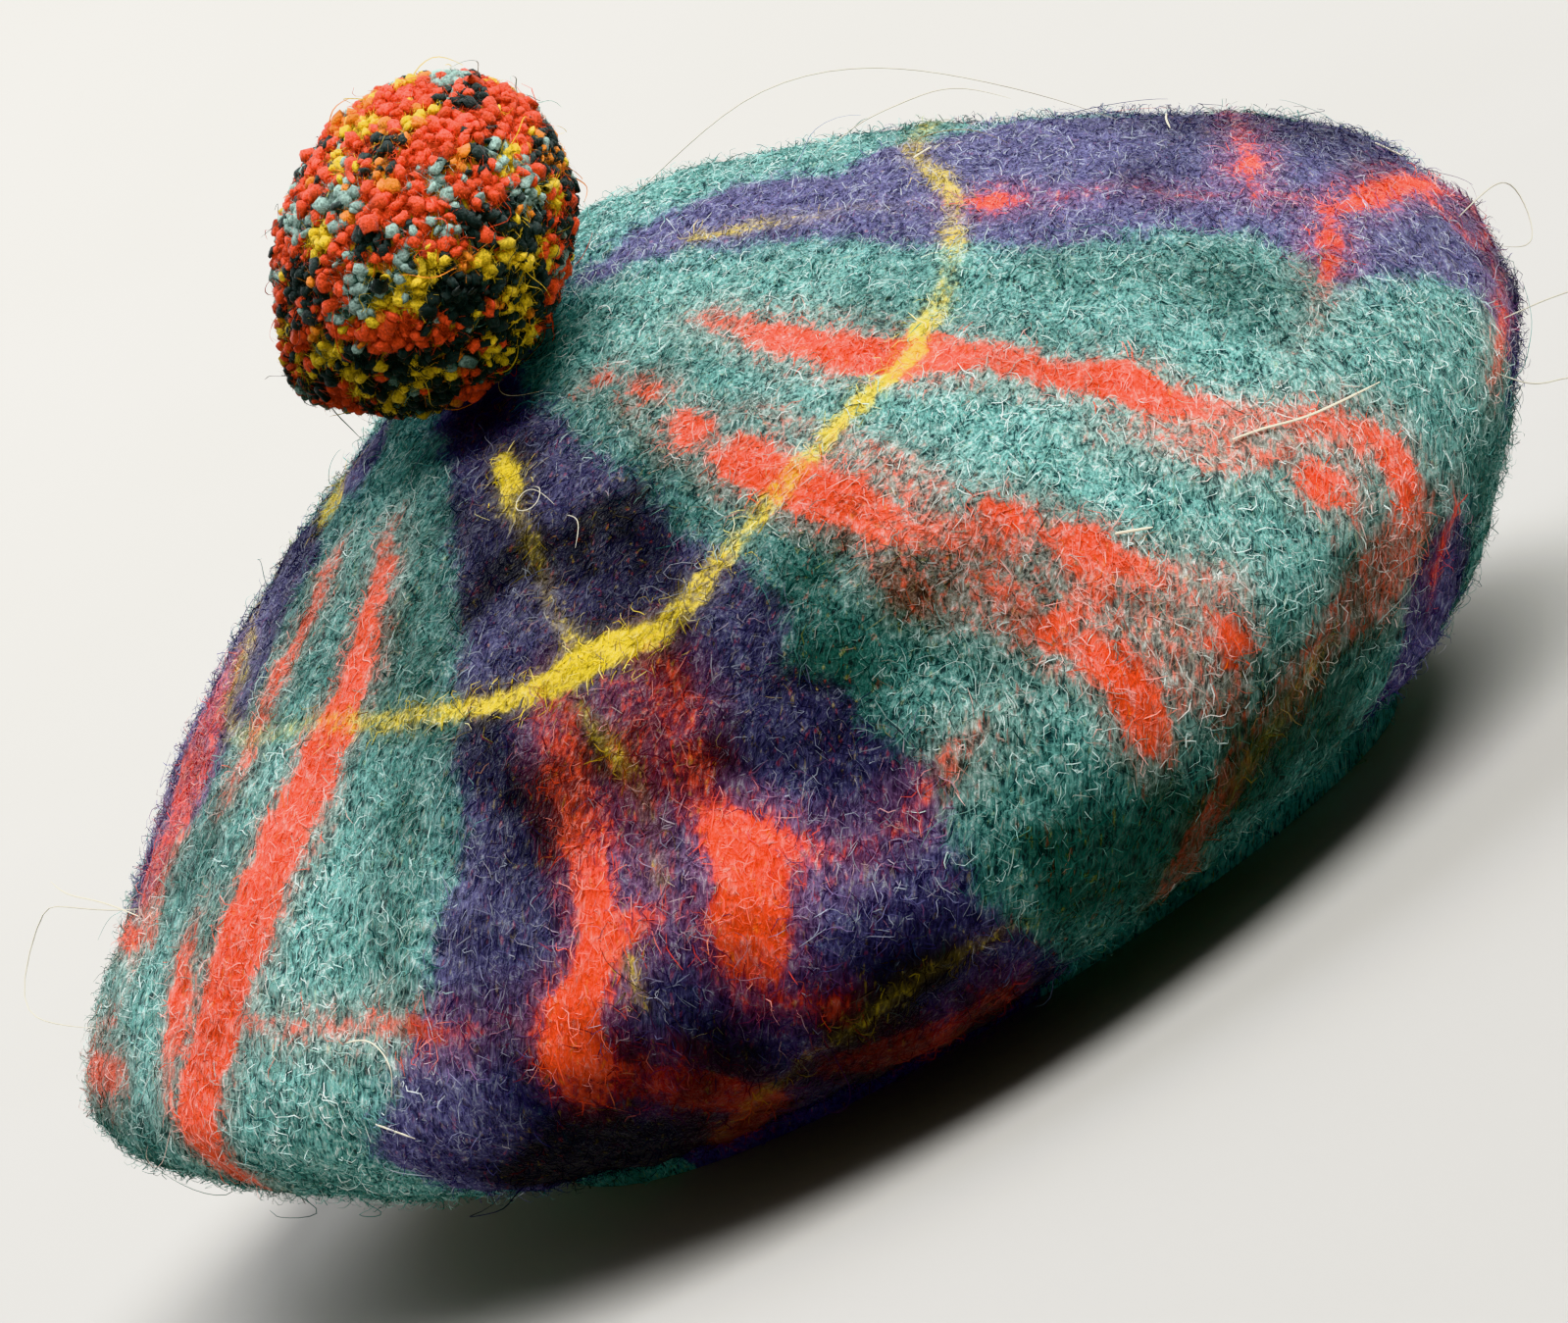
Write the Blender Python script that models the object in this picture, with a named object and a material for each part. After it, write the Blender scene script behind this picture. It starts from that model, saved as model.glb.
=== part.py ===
"""A tam o' shanter: one felted wool cap with a pompom of cut yarn sewn to its top.

Blender units are metres and +Z is up. The cap stands on the cut edge of its mouth at z = 0, with the
origin under the middle of its outline. The wearer faces -Y, and the wearer's right side is -X.
The cap is lower and fuller on the wearer's right and at the back, and stands up at the front.

Sizes in the tables below are millimetres until MM turns them to metres.
"""
import math
import random
from collections import namedtuple

import bmesh
import bpy
import numpy as np
from mathutils import Matrix, Vector
from mathutils.bvhtree import BVHTree

MM = 0.001

# ---- the felt -------------------------------------------------------------------------------------
FELT_THICKNESS = 2.5 * MM

# Rings of the cap's outside, from the mouth up to the tip. front, back, right and left are how far the
# ring reaches on each side, waist is how far behind the middle it is widest, and the z columns are its
# height on each side.
Ring = namedtuple("Ring", "name front back right left waist z_front z_back z_right z_left")
RINGS = (
    Ring("mouth",          92,  88,  80,  77, 13,   0,   0,   0,   0),
    Ring("rim",            93,  89,  82,  78, 13,   4,   4,   4,   4),
    Ring("underside",     116, 115, 112, 108, 10,  21,  22,  11,  18),
    Ring("low_crest",     133, 141, 136, 132,  8,  42,  38,  23,  38),
    Ring("crest",         144, 154, 143, 141,  6,  62,  53,  38,  55),
    Ring("shoulder",      139, 144, 139, 137,  5,  86,  71,  58,  75),
    Ring("high_shoulder", 122, 122, 120, 120,  6, 104,  91,  83,  96),
    Ring("slope",          88,  90,  84,  84,  7, 123, 114, 109, 118),
    Ring("near_tip",       46,  48,  45,  45,  8, 141, 136, 133, 139),
    Ring("tip",             0,   0,   0,   0,  6, 151, 151, 151, 151),
)
RIGHT_LEAN = 6.0        # how far the tip leans to the wearer's right
AROUND = 64             # points round each ring
STEPS_PER_RING = 3      # rows of faces between one ring of the table and the next

# Where the pompom is sewn on, on the cap's outside.
SEWN_AZIMUTH = 110.0    # degrees from the front towards the wearer's right
SEWN_UP = 0.91         # up the rings, from the mouth at 0 to the tip at 1
SEWING_ROWS = 200       # rows of the fine grid that the place is read from

# Soft dents and swells in the felt: where each lies (azimuth in degrees from the front towards the
# wearer's right, and how far up the rings from the mouth at 0 to the tip at 1), how deep it is, and
# half its width round the cap in degrees and up the rings. A negative depth is a swell.
Dent = namedtuple("Dent", "name azimuth up depth half_width half_height")
DENTS = (
    Dent("front_corner_fold",      38, 0.64, 2.5, 14, 0.06),
    Dent("right_front_hollow",     62, 0.42, 3.0, 20, 0.10),
    Dent("right_swell",            92, 0.34, -2.0, 22, 0.10),
    Dent("right_back_fold",       128, 0.55, 2.5, 14, 0.16),
    Dent("back_hollow",           172, 0.60, 2.0, 24, 0.10),
    Dent("back_low_swell",        205, 0.36, -2.0, 26, 0.08),
    Dent("left_fold",             262, 0.58, 2.5, 18, 0.12),
    Dent("left_front_hollow",     300, 0.60, 2.0, 16, 0.08),
    Dent("pompom_seat", SEWN_AZIMUTH, SEWN_UP, 4.5, 40, 0.06),
)

# ---- the pompom -----------------------------------------------------------------------------------
POMPOM_HALF_WIDTH = 26.8 * MM
POMPOM_HALF_HEIGHT = 30.0 * MM                     # along its tall axis
POMPOM_TALL_AXIS = Vector((0.0, -0.76, 0.65)).normalized()
POMPOM_GAP = 0.3 * MM                              # between the nearest lock and the felt
SEATING_STEPS = 12                                 # of bringing it to that gap
LOCK_HEIGHT = 3.6 * MM
LOCK_HEIGHT_VARIES = 0.7 * MM
LOCK_TIP = 1.0 * MM                                # how far a lock's middle stands above its rim
LOCK_TAPER = 1.3 * MM                              # how far a lock's sides draw in
LOCK_SWAY = 0.5 * MM                               # how far a lock leans sideways
LOCK_PATTERN = 3                                   # icosphere level: 161 locks and the socket
LOCK_SEED = 7

# ---- the yarn that holds it -----------------------------------------------------------------------
TIE_RADIUS = 1.4 * MM
TIE_REACH = 9.0 * MM                               # from the felt's outside into the pompom
TIE_SIDES = 12
HOLE_RADIUS = 1.8 * MM                             # in the felt, round the yarn
KNOT_RADIUS = 4.0 * MM
KNOT_THICKNESS = 3.0 * MM
KNOT_GAP = 0.5 * MM                                # below the felt's inside
SOCKET_DEPTH = 9.0 * MM                            # in the pompom, round the yarn's end
SOCKET_TAPER = 0.9 * MM

Finish = namedtuple("Finish", "name colour roughness")
FULLED_WOOL = Finish("fulled_wool_felt", (0.075, 0.165, 0.150, 1.0), 0.95)
CUT_YARN = Finish("cut_wool_yarn", (0.560, 0.085, 0.035, 1.0), 0.92)
SEWING_YARN = Finish("twisted_sewing_yarn", (0.030, 0.032, 0.050, 1.0), 0.90)


def clear_scene():
    """Remove every object of the scene."""
    for item in list(bpy.data.objects):
        bpy.data.objects.remove(item, do_unlink=True)


def dress(piece, finish):
    """Give a piece a plain material of a finish's colour and roughness."""
    material = bpy.data.materials.new(finish.name)
    material.use_nodes = True
    shader = material.node_tree.nodes["Principled BSDF"]
    shader.inputs["Base Color"].default_value = finish.colour
    shader.inputs["Roughness"].default_value = finish.roughness
    shader.inputs["Metallic"].default_value = 0.0
    material.diffuse_color = finish.colour
    piece.data.materials.append(material)


def link_piece(name, mesh, finish):
    """Make an object of a mesh, shade it smooth and dress it."""
    piece = bpy.data.objects.new(name, mesh)
    bpy.context.scene.collection.objects.link(piece)
    mesh.shade_smooth()
    dress(piece, finish)
    return piece


# ---- the crown ------------------------------------------------------------------------------------

def round_angles(count):
    """Evenly spaced angles once round, in radians."""
    return np.linspace(0.0, 2.0 * math.pi, count, endpoint=False)


def smooth_curve(knots, values, places):
    """Read the natural cubic spline through values at knots, at the given places."""
    count = len(knots)
    flat = values.reshape(count, -1)
    gaps = np.diff(knots)
    slopes = np.diff(flat, axis=0) / gaps[:, None]
    system = np.eye(count)
    target = np.zeros_like(flat)
    for k in range(1, count - 1):
        system[k, k - 1:k + 2] = gaps[k - 1], 2.0 * (gaps[k - 1] + gaps[k]), gaps[k]
        target[k] = 6.0 * (slopes[k] - slopes[k - 1])
    bends = np.linalg.solve(system, target)
    read = []
    for place in places:
        k = min(max(int(np.searchsorted(knots, place)) - 1, 0), count - 2)
        before, after, gap = place - knots[k], knots[k + 1] - place, gaps[k]
        read.append((bends[k] * after ** 3 + bends[k + 1] * before ** 3) / (6.0 * gap)
                    + (flat[k] / gap - bends[k] * gap / 6.0) * after
                    + (flat[k + 1] / gap - bends[k + 1] * gap / 6.0) * before)
    return np.array(read).reshape(len(places), *values.shape[1:])


def ring_points(ring, azimuth):
    """Points of one ring of the table at the given azimuths, in metres."""
    ahead, aside = np.cos(azimuth), np.sin(azimuth)
    along = np.where(ahead >= 0.0, ring.front, ring.back)
    across = np.where(aside >= 0.0, ring.right, ring.left)
    z_along = np.where(ahead >= 0.0, ring.z_front, ring.z_back)
    z_across = np.where(aside >= 0.0, ring.z_right, ring.z_left)
    height = z_along * ahead ** 2 + z_across * aside ** 2
    widest = ring.waist if ring.front == 0 else ring.waist * aside ** 2
    lean = RIGHT_LEAN * (height / RINGS[-1].z_front) ** 2
    return np.stack([-across * aside - lean, widest - along * ahead, height], axis=-1) * MM


def surface_normals(points):
    """Unit normals of a grid of points (rings up, azimuth round), facing out of the cap."""
    up = np.gradient(points, axis=0)
    around = np.roll(points, -1, axis=1) - np.roll(points, 1, axis=1)
    normals = np.cross(up, around)
    length = np.linalg.norm(normals, axis=-1, keepdims=True)
    return normals / np.maximum(length, 1e-12)


def crown_outside(azimuth, ups):
    """Outside of the cap as a grid of points, one row for each place in ups, 0 mouth to 1 tip.

    The curve runs on past the tip to the far side's ring, so the cap is smooth over its top.
    """
    table = np.array([ring_points(ring, azimuth) for ring in RINGS])
    over_the_top = np.roll(table[-2], len(azimuth) // 2, axis=0)
    table = np.concatenate([table, over_the_top[None]])
    steps = np.linalg.norm(np.diff(table, axis=0), axis=-1).mean(axis=1)
    knots = np.concatenate([[0.0], np.cumsum(steps)])
    rows = np.array(ups) * (len(RINGS) - 1)
    places = np.interp(rows, np.arange(len(knots)), knots)
    points = smooth_curve(knots, table, places)
    depth = np.zeros(points.shape[:2])
    for dent in DENTS:
        turn = np.degrees(azimuth) - dent.azimuth
        turn = (turn + 180.0) % 360.0 - 180.0
        rise = np.array(ups) - dent.up
        depth += dent.depth * MM * np.outer(np.exp(-(rise / dent.half_height) ** 2),
                                            np.exp(-(turn / dent.half_width) ** 2))
    depth[0] = 0.0
    depth[-1] = 0.0
    return points - depth[..., None] * surface_normals(points)


def crown_inside(outside):
    """Inside of the felt wall: the outside moved in by the thickness, level at the mouth."""
    inside = outside - FELT_THICKNESS * surface_normals(outside)
    edge = outside[0].copy()
    outward = edge[:, :2] - edge[:, :2].mean(axis=0)
    outward /= np.linalg.norm(outward, axis=1, keepdims=True)
    edge[:, :2] -= FELT_THICKNESS * outward
    inside[0] = edge
    inside[-1] = outside[-1] - np.array([0.0, 0.0, FELT_THICKNESS])
    return inside


def fill_grid(mesh, points):
    """Add a grid of points to a bmesh as faces, closed by a fan at its last row, the tip.

    Returns the corners of its first row, the mouth.
    """
    rows = [[mesh.verts.new(Vector(point)) for point in row] for row in points[:-1]]
    tip = mesh.verts.new(Vector(points[-1].mean(axis=0)))
    faces = []
    for low, high in zip(rows, rows[1:]):
        for k in range(len(low)):
            after = (k + 1) % len(low)
            faces.append((low[k], high[k], high[after], low[after]))
    last = rows[-1]
    for k in range(len(last)):
        faces.append((last[k], tip, last[(k + 1) % len(last)]))
    for face in faces:
        mesh.faces.new(face)
    return rows[0]


def crown_grid():
    """Grid of the cap's outside, with the middle of its outline moved over the origin.

    Returns the grid and how far off the origin that middle was.
    """
    azimuth = round_angles(AROUND)
    bands = STEPS_PER_RING * (len(RINGS) - 1)
    outside = crown_outside(azimuth, np.linspace(0.0, 1.0, bands + 1))
    low, high = outside.min(axis=(0, 1)), outside.max(axis=(0, 1))
    middle = np.array([low[0] + high[0], low[1] + high[1], 0.0]) / 2.0
    return outside - middle, middle


def build_crown(outside, hole):
    """The felt cap: outside, inside and the level cut edge between them, with the sewing hole."""
    mesh = bmesh.new()
    outer_edge = fill_grid(mesh, outside)
    inner_edge = fill_grid(mesh, crown_inside(outside))
    for k in range(AROUND):
        after = (k + 1) % AROUND
        mesh.faces.new((outer_edge[k], outer_edge[after], inner_edge[after], inner_edge[k]))
    bmesh.ops.recalc_face_normals(mesh, faces=mesh.faces)
    data = bpy.data.meshes.new("crown")
    mesh.to_mesh(data)
    mesh.free()
    crown = link_piece("crown", data, FULLED_WOOL)
    cut = crown.modifiers.new("sewing_hole", "BOOLEAN")
    cut.operation = "DIFFERENCE"
    cut.solver = "EXACT"
    cut.object = hole
    return crown


# ---- the pompom -----------------------------------------------------------------------------------

def patch_ball(level):
    """A ball of five- and six-sided patches, one round each corner of an icosphere of radius 1.

    One patch is centred on -Z. Returns the bmesh.
    """
    source = bmesh.new()
    bmesh.ops.create_icosphere(source, subdivisions=level, radius=1.0)
    lowest = min(source.verts, key=lambda corner: corner.co.z)
    turn = lowest.co.to_track_quat("-Z", "Y").to_matrix().inverted()
    source.faces.ensure_lookup_table()
    ball = bmesh.new()
    corners = [ball.verts.new(turn @ face.calc_center_median().normalized()) for face in source.faces]
    for corner in source.verts:
        sideways = corner.co.orthogonal().normalized()
        forwards = corner.co.cross(sideways)
        ring = sorted(corner.link_faces, key=lambda face: math.atan2(
            face.calc_center_median().dot(forwards), face.calc_center_median().dot(sideways)))
        ball.faces.new([corners[face.index] for face in ring])
    source.free()
    bmesh.ops.recalc_face_normals(ball, faces=ball.faces)
    return ball


def raise_locks(ball, chance):
    """Draw each patch of the ball out into a tapered lock, and the lowest one in as a socket."""
    patches = list(ball.faces)
    socket = min(patches, key=lambda patch: patch.calc_center_median().z)
    for patch in patches:
        if patch is socket:
            bmesh.ops.inset_individual(ball, faces=[patch], thickness=SOCKET_TAPER,
                                       depth=-SOCKET_DEPTH)
            continue
        height = LOCK_HEIGHT + chance.uniform(-1.0, 1.0) * LOCK_HEIGHT_VARIES
        bmesh.ops.inset_individual(ball, faces=[patch], thickness=LOCK_TAPER, depth=height)
        sway = Vector([chance.uniform(-1.0, 1.0) for _ in range(3)]) * LOCK_SWAY
        bmesh.ops.translate(ball, verts=patch.verts, vec=sway)
        bmesh.ops.poke(ball, faces=[patch], offset=LOCK_TIP)


def seat_on(corners, place, outward, outside):
    """Slide a body, given as its corners, along outward from place until it just clears the felt."""
    rows, around = outside.shape[:2]
    spots = [Vector(point) for point in outside.reshape(-1, 3)]
    faces = [(r * around + k, (r + 1) * around + k, (r + 1) * around + (k + 1) % around,
              r * around + (k + 1) % around) for r in range(rows - 1) for k in range(around)]
    felt = BVHTree.FromPolygons(spots, faces)
    for _ in range(SEATING_STEPS):
        gaps = []
        for corner in corners:
            away = corner + place - felt.find_nearest(corner + place)[0]
            gaps.append(math.copysign(away.length, away.dot(outward)))
        place = place + (POMPOM_GAP - min(gaps)) * outward
    return place


def build_pompom(sewn_at, outward, outside):
    """The pompom, its nearest lock just clear of the felt and its socket over the sewing point."""
    ball = patch_ball(LOCK_PATTERN)
    core_radius = POMPOM_HALF_WIDTH - LOCK_HEIGHT - LOCK_TIP
    bmesh.ops.scale(ball, vec=Vector((1.0, 1.0, 1.0)) * core_radius, verts=ball.verts)
    raise_locks(ball, random.Random(LOCK_SEED))
    turn = outward.to_track_quat("Z", "Y").to_matrix()
    stretch = Matrix.Scale(POMPOM_HALF_HEIGHT / POMPOM_HALF_WIDTH, 3, POMPOM_TALL_AXIS)
    bmesh.ops.transform(ball, matrix=(stretch @ turn).to_4x4(), verts=ball.verts)
    floor = min(ball.faces, key=lambda face: face.calc_center_median().length)
    socket = floor.calc_center_median()
    aside = socket - socket.dot(outward) * outward
    corners = [corner.co.copy() for corner in ball.verts]
    above = sewn_at - aside + POMPOM_HALF_HEIGHT * outward
    place = seat_on(corners, above, outward, outside)
    data = bpy.data.meshes.new("pompom")
    ball.to_mesh(data)
    ball.free()
    pompom = link_piece("pompom", data, CUT_YARN)
    pompom.location = place
    return pompom


# ---- the yarn that holds the pompom ---------------------------------------------------------------

def turned(name, profile, sides):
    """A closed mesh turned about Z from (radius, height) pairs, flat at both ends."""
    mesh = bmesh.new()
    rings = []
    for radius, height in profile:
        rings.append([mesh.verts.new((radius * math.cos(turn), radius * math.sin(turn), height))
                      for turn in round_angles(sides)])
    for low, high in zip(rings, rings[1:]):
        for k in range(sides):
            after = (k + 1) % sides
            mesh.faces.new((low[k], low[after], high[after], high[k]))
    mesh.faces.new(tuple(reversed(rings[0])))
    mesh.faces.new(rings[-1])
    data = bpy.data.meshes.new(name)
    mesh.to_mesh(data)
    mesh.free()
    return data


def build_tie(sewn_at, outward):
    """The sewing yarn: a flat knot inside the cap, and the yarn up through the felt."""
    knot_top = -FELT_THICKNESS - KNOT_GAP
    knot_foot = knot_top - KNOT_THICKNESS
    rounding = KNOT_THICKNESS / 3.0
    profile = (
        (KNOT_RADIUS - rounding, knot_foot),
        (KNOT_RADIUS, knot_foot + rounding),
        (KNOT_RADIUS, knot_top - rounding),
        (KNOT_RADIUS - rounding, knot_top),
        (TIE_RADIUS, knot_top),
        (TIE_RADIUS, TIE_REACH),
    )
    tie = link_piece("pompom_tie", turned("pompom_tie", profile, TIE_SIDES), SEWING_YARN)
    tie.location = sewn_at
    tie.rotation_euler = outward.to_track_quat("Z", "Y").to_euler()
    return tie


def build_hole(sewn_at, outward):
    """The cutter for the sewing hole, longer than the felt is thick on both sides."""
    past = 2.0 * FELT_THICKNESS
    profile = ((HOLE_RADIUS, -FELT_THICKNESS - past), (HOLE_RADIUS, past))
    data = turned("sewing_hole_cutter", profile, TIE_SIDES)
    hole = bpy.data.objects.new("sewing_hole_cutter", data)
    bpy.context.scene.collection.objects.link(hole)
    hole.location = sewn_at
    hole.rotation_euler = outward.to_track_quat("Z", "Y").to_euler()
    hole.hide_render = True
    hole.display_type = "WIRE"
    return hole


def sewing_point(middle):
    """The place on the felt's outside where the pompom is sewn on, and the felt's normal there."""
    azimuth = math.radians(SEWN_AZIMUTH) + round_angles(AROUND)
    outside = crown_outside(azimuth, np.linspace(0.0, 1.0, SEWING_ROWS + 1)) - middle
    row = round(SEWN_UP * SEWING_ROWS)
    return Vector(outside[row, 0]), Vector(surface_normals(outside)[row, 0])


def main():
    """Build the cap, its pompom and the yarn between them."""
    clear_scene()
    outside, middle = crown_grid()
    sewn_at, outward = sewing_point(middle)
    hole = build_hole(sewn_at, outward)
    build_crown(outside, hole)
    build_pompom(sewn_at, outward, outside)
    build_tie(sewn_at, outward)


main()
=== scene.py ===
"""The looks of a tam o' shanter: a fulled tartan cap, thickly brushed, with a pompom of cut yarn.

Blender units are metres and +Z is up. The cap rests on the cut edge of its mouth, the wearer faces -Y
and the wearer's right side is -X. Tables hold millimetres until MM turns them to metres.

The felt is a close mesh with its tartan charted on the cloth as it lay flat before it was blocked.
Loose fibres stand on it as thin ribbons, each dyed as the felt at its root is.
"""
from __future__ import annotations

import logging
import math
from collections.abc import Callable
from dataclasses import dataclass, field
from enum import Enum
from functools import partial

import bpy
import numpy as np
from mathutils import Matrix, Vector

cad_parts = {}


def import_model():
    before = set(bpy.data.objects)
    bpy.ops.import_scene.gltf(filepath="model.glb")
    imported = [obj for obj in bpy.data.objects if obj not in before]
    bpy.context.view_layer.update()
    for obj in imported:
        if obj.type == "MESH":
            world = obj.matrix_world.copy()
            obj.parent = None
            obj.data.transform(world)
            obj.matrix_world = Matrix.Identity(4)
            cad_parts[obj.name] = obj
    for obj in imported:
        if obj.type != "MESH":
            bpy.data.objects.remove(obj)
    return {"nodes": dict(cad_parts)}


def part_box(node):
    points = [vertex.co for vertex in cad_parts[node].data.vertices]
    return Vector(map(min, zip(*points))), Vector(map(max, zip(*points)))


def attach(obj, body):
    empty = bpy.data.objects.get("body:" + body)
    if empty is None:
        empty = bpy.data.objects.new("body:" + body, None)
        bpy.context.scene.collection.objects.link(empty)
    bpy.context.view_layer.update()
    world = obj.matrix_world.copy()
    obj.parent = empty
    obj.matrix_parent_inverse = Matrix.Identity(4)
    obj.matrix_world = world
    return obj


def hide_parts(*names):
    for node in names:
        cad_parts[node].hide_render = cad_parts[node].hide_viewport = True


Pair = tuple[np.ndarray, np.ndarray]
AddNode = Callable[..., bpy.types.Node]     # add_node for one material's tree

LOG = logging.getLogger("tam")
MM = 0.001
ROUND = 2.0 * math.pi
TINY = 1e-12            # stands in for a length of none that something is divided by
BODY = "root"
NO_TRIANGLES = np.zeros((0, 3), int)


class Slot(Enum):
    """The record's material slots."""

    FELT = "felt"
    POMPOM = "pompom_yarn"
    SEWING = "sewing_yarn"


class Dye(Enum):
    """The wool's dyes, as the place that each has in the "edges" attribute."""

    RED = 0
    YELLOW = 1
    NAVY = 2


# ---- small tools ----------------------------------------------------------------------------------

def linear(code: str) -> tuple[float, float, float, float]:
    """Turn an sRGB hex colour to linear light.

    Args:
        code: The colour as "#RRGGBB".

    Returns:
        Red, green and blue, and an alpha of 1.
    """
    shares = [int(code[k:k + 2], 16) / 255.0 for k in (1, 3, 5)]
    red, green, blue = (c / 12.92 if c <= 0.04045 else ((c + 0.055) / 1.055) ** 2.4 for c in shares)
    return red, green, blue, 1.0


def set_inputs(node: bpy.types.Node, inputs: dict[str | int, object]) -> None:
    """Set a node's inputs, or link them.

    Args:
        node: The node.
        inputs: For each input, by name or by its number among those in use: a value, a socket to link,
            or a node, whose first output in use is linked.
    """
    in_use = [socket for socket in node.inputs if socket.enabled]
    for key, value in inputs.items():
        socket = in_use[key] if isinstance(key, int) else node.inputs[key]
        if isinstance(value, bpy.types.Node):
            value = next(output for output in value.outputs if output.enabled)
        if isinstance(value, bpy.types.NodeSocket):
            node.id_data.links.new(value, socket)
        else:
            socket.default_value = value


def add_node(tree: bpy.types.NodeTree, kind: str, inputs: dict[str | int, object] | None = None,
             **settings: object) -> bpy.types.Node:
    """Add a node with its settings, values and links.

    Args:
        tree: The node tree that it goes in.
        kind: The node's Blender type, less its "ShaderNode".
        inputs: What set_inputs gives it.
        **settings: Properties of the node.

    Returns:
        The new node.
    """
    node = tree.nodes.new("ShaderNode" + kind)
    for name, value in settings.items():
        setattr(node, name, value)
    set_inputs(node, inputs or {})
    return node


def new_material(name: str) -> tuple[bpy.types.Material, bpy.types.Node, AddNode]:
    """Make a material with one Principled shader.

    Args:
        name: The material's name.

    Returns:
        The material, its shader, and what adds a node to its tree.
    """
    material = bpy.data.materials.new(name)
    material.use_nodes = True
    tree = material.node_tree
    return material, tree.nodes["Principled BSDF"], partial(add_node, tree)


def make_piece(name: str, points: np.ndarray, quads: np.ndarray, attributes: dict[str, np.ndarray],
               material: bpy.types.Material, triangles: np.ndarray = NO_TRIANGLES) -> bpy.types.Object:
    """Make a smooth mesh object of arrays.

    Args:
        name: The piece's name.
        points: Corners, n x 3, in metres.
        quads: Corner numbers of the four-sided faces, n x 4.
        attributes: Vectors for each corner, n x 3, by name.
        material: What it is made of.
        triangles: Corner numbers of the three-sided faces, n x 3.

    Returns:
        The object, linked to the scene.
    """
    mesh = bpy.data.meshes.new(name)
    mesh.vertices.add(len(points))
    mesh.vertices.foreach_set("co", points.astype(np.float32).ravel())
    corners = np.concatenate([quads.ravel(), triangles.ravel()]).astype(np.int32)
    starts = np.concatenate([np.arange(len(quads)) * 4, quads.size + np.arange(len(triangles)) * 3])
    mesh.loops.add(len(corners))
    mesh.loops.foreach_set("vertex_index", corners)
    mesh.polygons.add(len(starts))
    mesh.polygons.foreach_set("loop_start", starts.astype(np.int32))
    mesh.update(calc_edges=True)
    mesh.validate()
    mesh.shade_smooth()
    for label, values in attributes.items():
        layer = mesh.attributes.new(label, "FLOAT_VECTOR", "POINT")
        layer.data.foreach_set("vector", values.astype(np.float32).ravel())
    mesh.materials.append(material)
    piece = bpy.data.objects.new(name, mesh)
    bpy.context.scene.collection.objects.link(piece)
    return piece


def hand_in(piece: bpy.types.Object, slot: Slot, *stands_for: str) -> None:
    """Let a piece ride with the cap, hide the frame's nodes that it stands for, and report it.

    Args:
        piece: The piece.
        slot: The record's slot that it takes its finish from. Not used.
        *stands_for: The nodes of the frame that it replaces.
    """
    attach(piece, BODY)
    if stands_for:
        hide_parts(*stands_for)
    triangles = sum(len(face.vertices) - 2 for face in piece.data.polygons)
    LOG.info("%s: %d triangles", piece.name, triangles)


def unit(vectors: np.ndarray) -> np.ndarray:
    """Vectors of length 1 along the given ones."""
    length = np.linalg.norm(vectors, axis=-1, keepdims=True)
    return vectors / np.maximum(length, TINY)


def round_angles(count: int) -> np.ndarray:
    """Evenly spaced angles once round, in radians."""
    return np.linspace(0.0, ROUND, count, endpoint=False)


def lengths_along(points: np.ndarray) -> np.ndarray:
    """How far along a line each of its points is, or the mean of that for a grid with lines up it."""
    steps = np.linalg.norm(np.diff(points, axis=0), axis=-1)
    return np.concatenate([[0.0], np.cumsum(steps.reshape(len(steps), -1).mean(axis=1))])


def lift_above(points: np.ndarray, floor: float) -> None:
    """Move points that lie lower than a height up to it, in place."""
    points[..., 2] = np.maximum(points[..., 2], floor)


def band_quads(starts: np.ndarray, around: int) -> np.ndarray:
    """Quads between closed rings of corners and the rings that follow them.

    Args:
        starts: The number of the first corner of each ring that has a ring after it.
        around: Corners in a ring.

    Returns:
        For each quad, two corners along its ring and then the two after them, the second's first.
    """
    low = starts.reshape(-1, 1)
    side = np.arange(around)
    after = (side + 1) % around
    quads = np.stack([low + side, low + after, low + around + after, low + around + side], axis=-1)
    return quads.reshape(-1, 4)


def smooth_curve(knots: np.ndarray, values: np.ndarray, places: np.ndarray) -> np.ndarray:
    """Read the natural cubic spline through values at knots.

    Args:
        knots: Rising places of the values.
        values: An array whose first axis goes with the knots.
        places: Where to read the curve.

    Returns:
        The curve's values, with places along the first axis.
    """
    count = len(knots)
    flat = values.reshape(count, -1)
    gaps = np.diff(knots)
    slopes = np.diff(flat, axis=0) / gaps[:, None]
    system = np.eye(count)
    target = np.zeros_like(flat)
    for k in range(1, count - 1):
        system[k, k - 1:k + 2] = gaps[k - 1], 2.0 * (gaps[k - 1] + gaps[k]), gaps[k]
        target[k] = 6.0 * (slopes[k] - slopes[k - 1])
    bends = np.linalg.solve(system, target)
    k = np.clip(np.searchsorted(knots, places) - 1, 0, count - 2)
    before, after, gap = ((places - knots[k])[:, None], (knots[k + 1] - places)[:, None], gaps[k][:, None])
    read = ((bends[k] * after ** 3 + bends[k + 1] * before ** 3) / (6.0 * gap)
            + (flat[k] / gap - bends[k] * gap / 6.0) * after
            + (flat[k + 1] / gap - bends[k + 1] * gap / 6.0) * before)
    return read.reshape(len(places), *values.shape[1:])


# ---- the cap's form -------------------------------------------------------------------------------

@dataclass(frozen=True)
class Ring:
    """How far one ring of the cap's outside reaches on each side, and its height there (mm)."""

    name: str
    front: float
    back: float
    right: float
    left: float
    waist: float        # how far behind the middle it is widest
    z_front: float
    z_back: float
    z_right: float
    z_left: float


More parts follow.
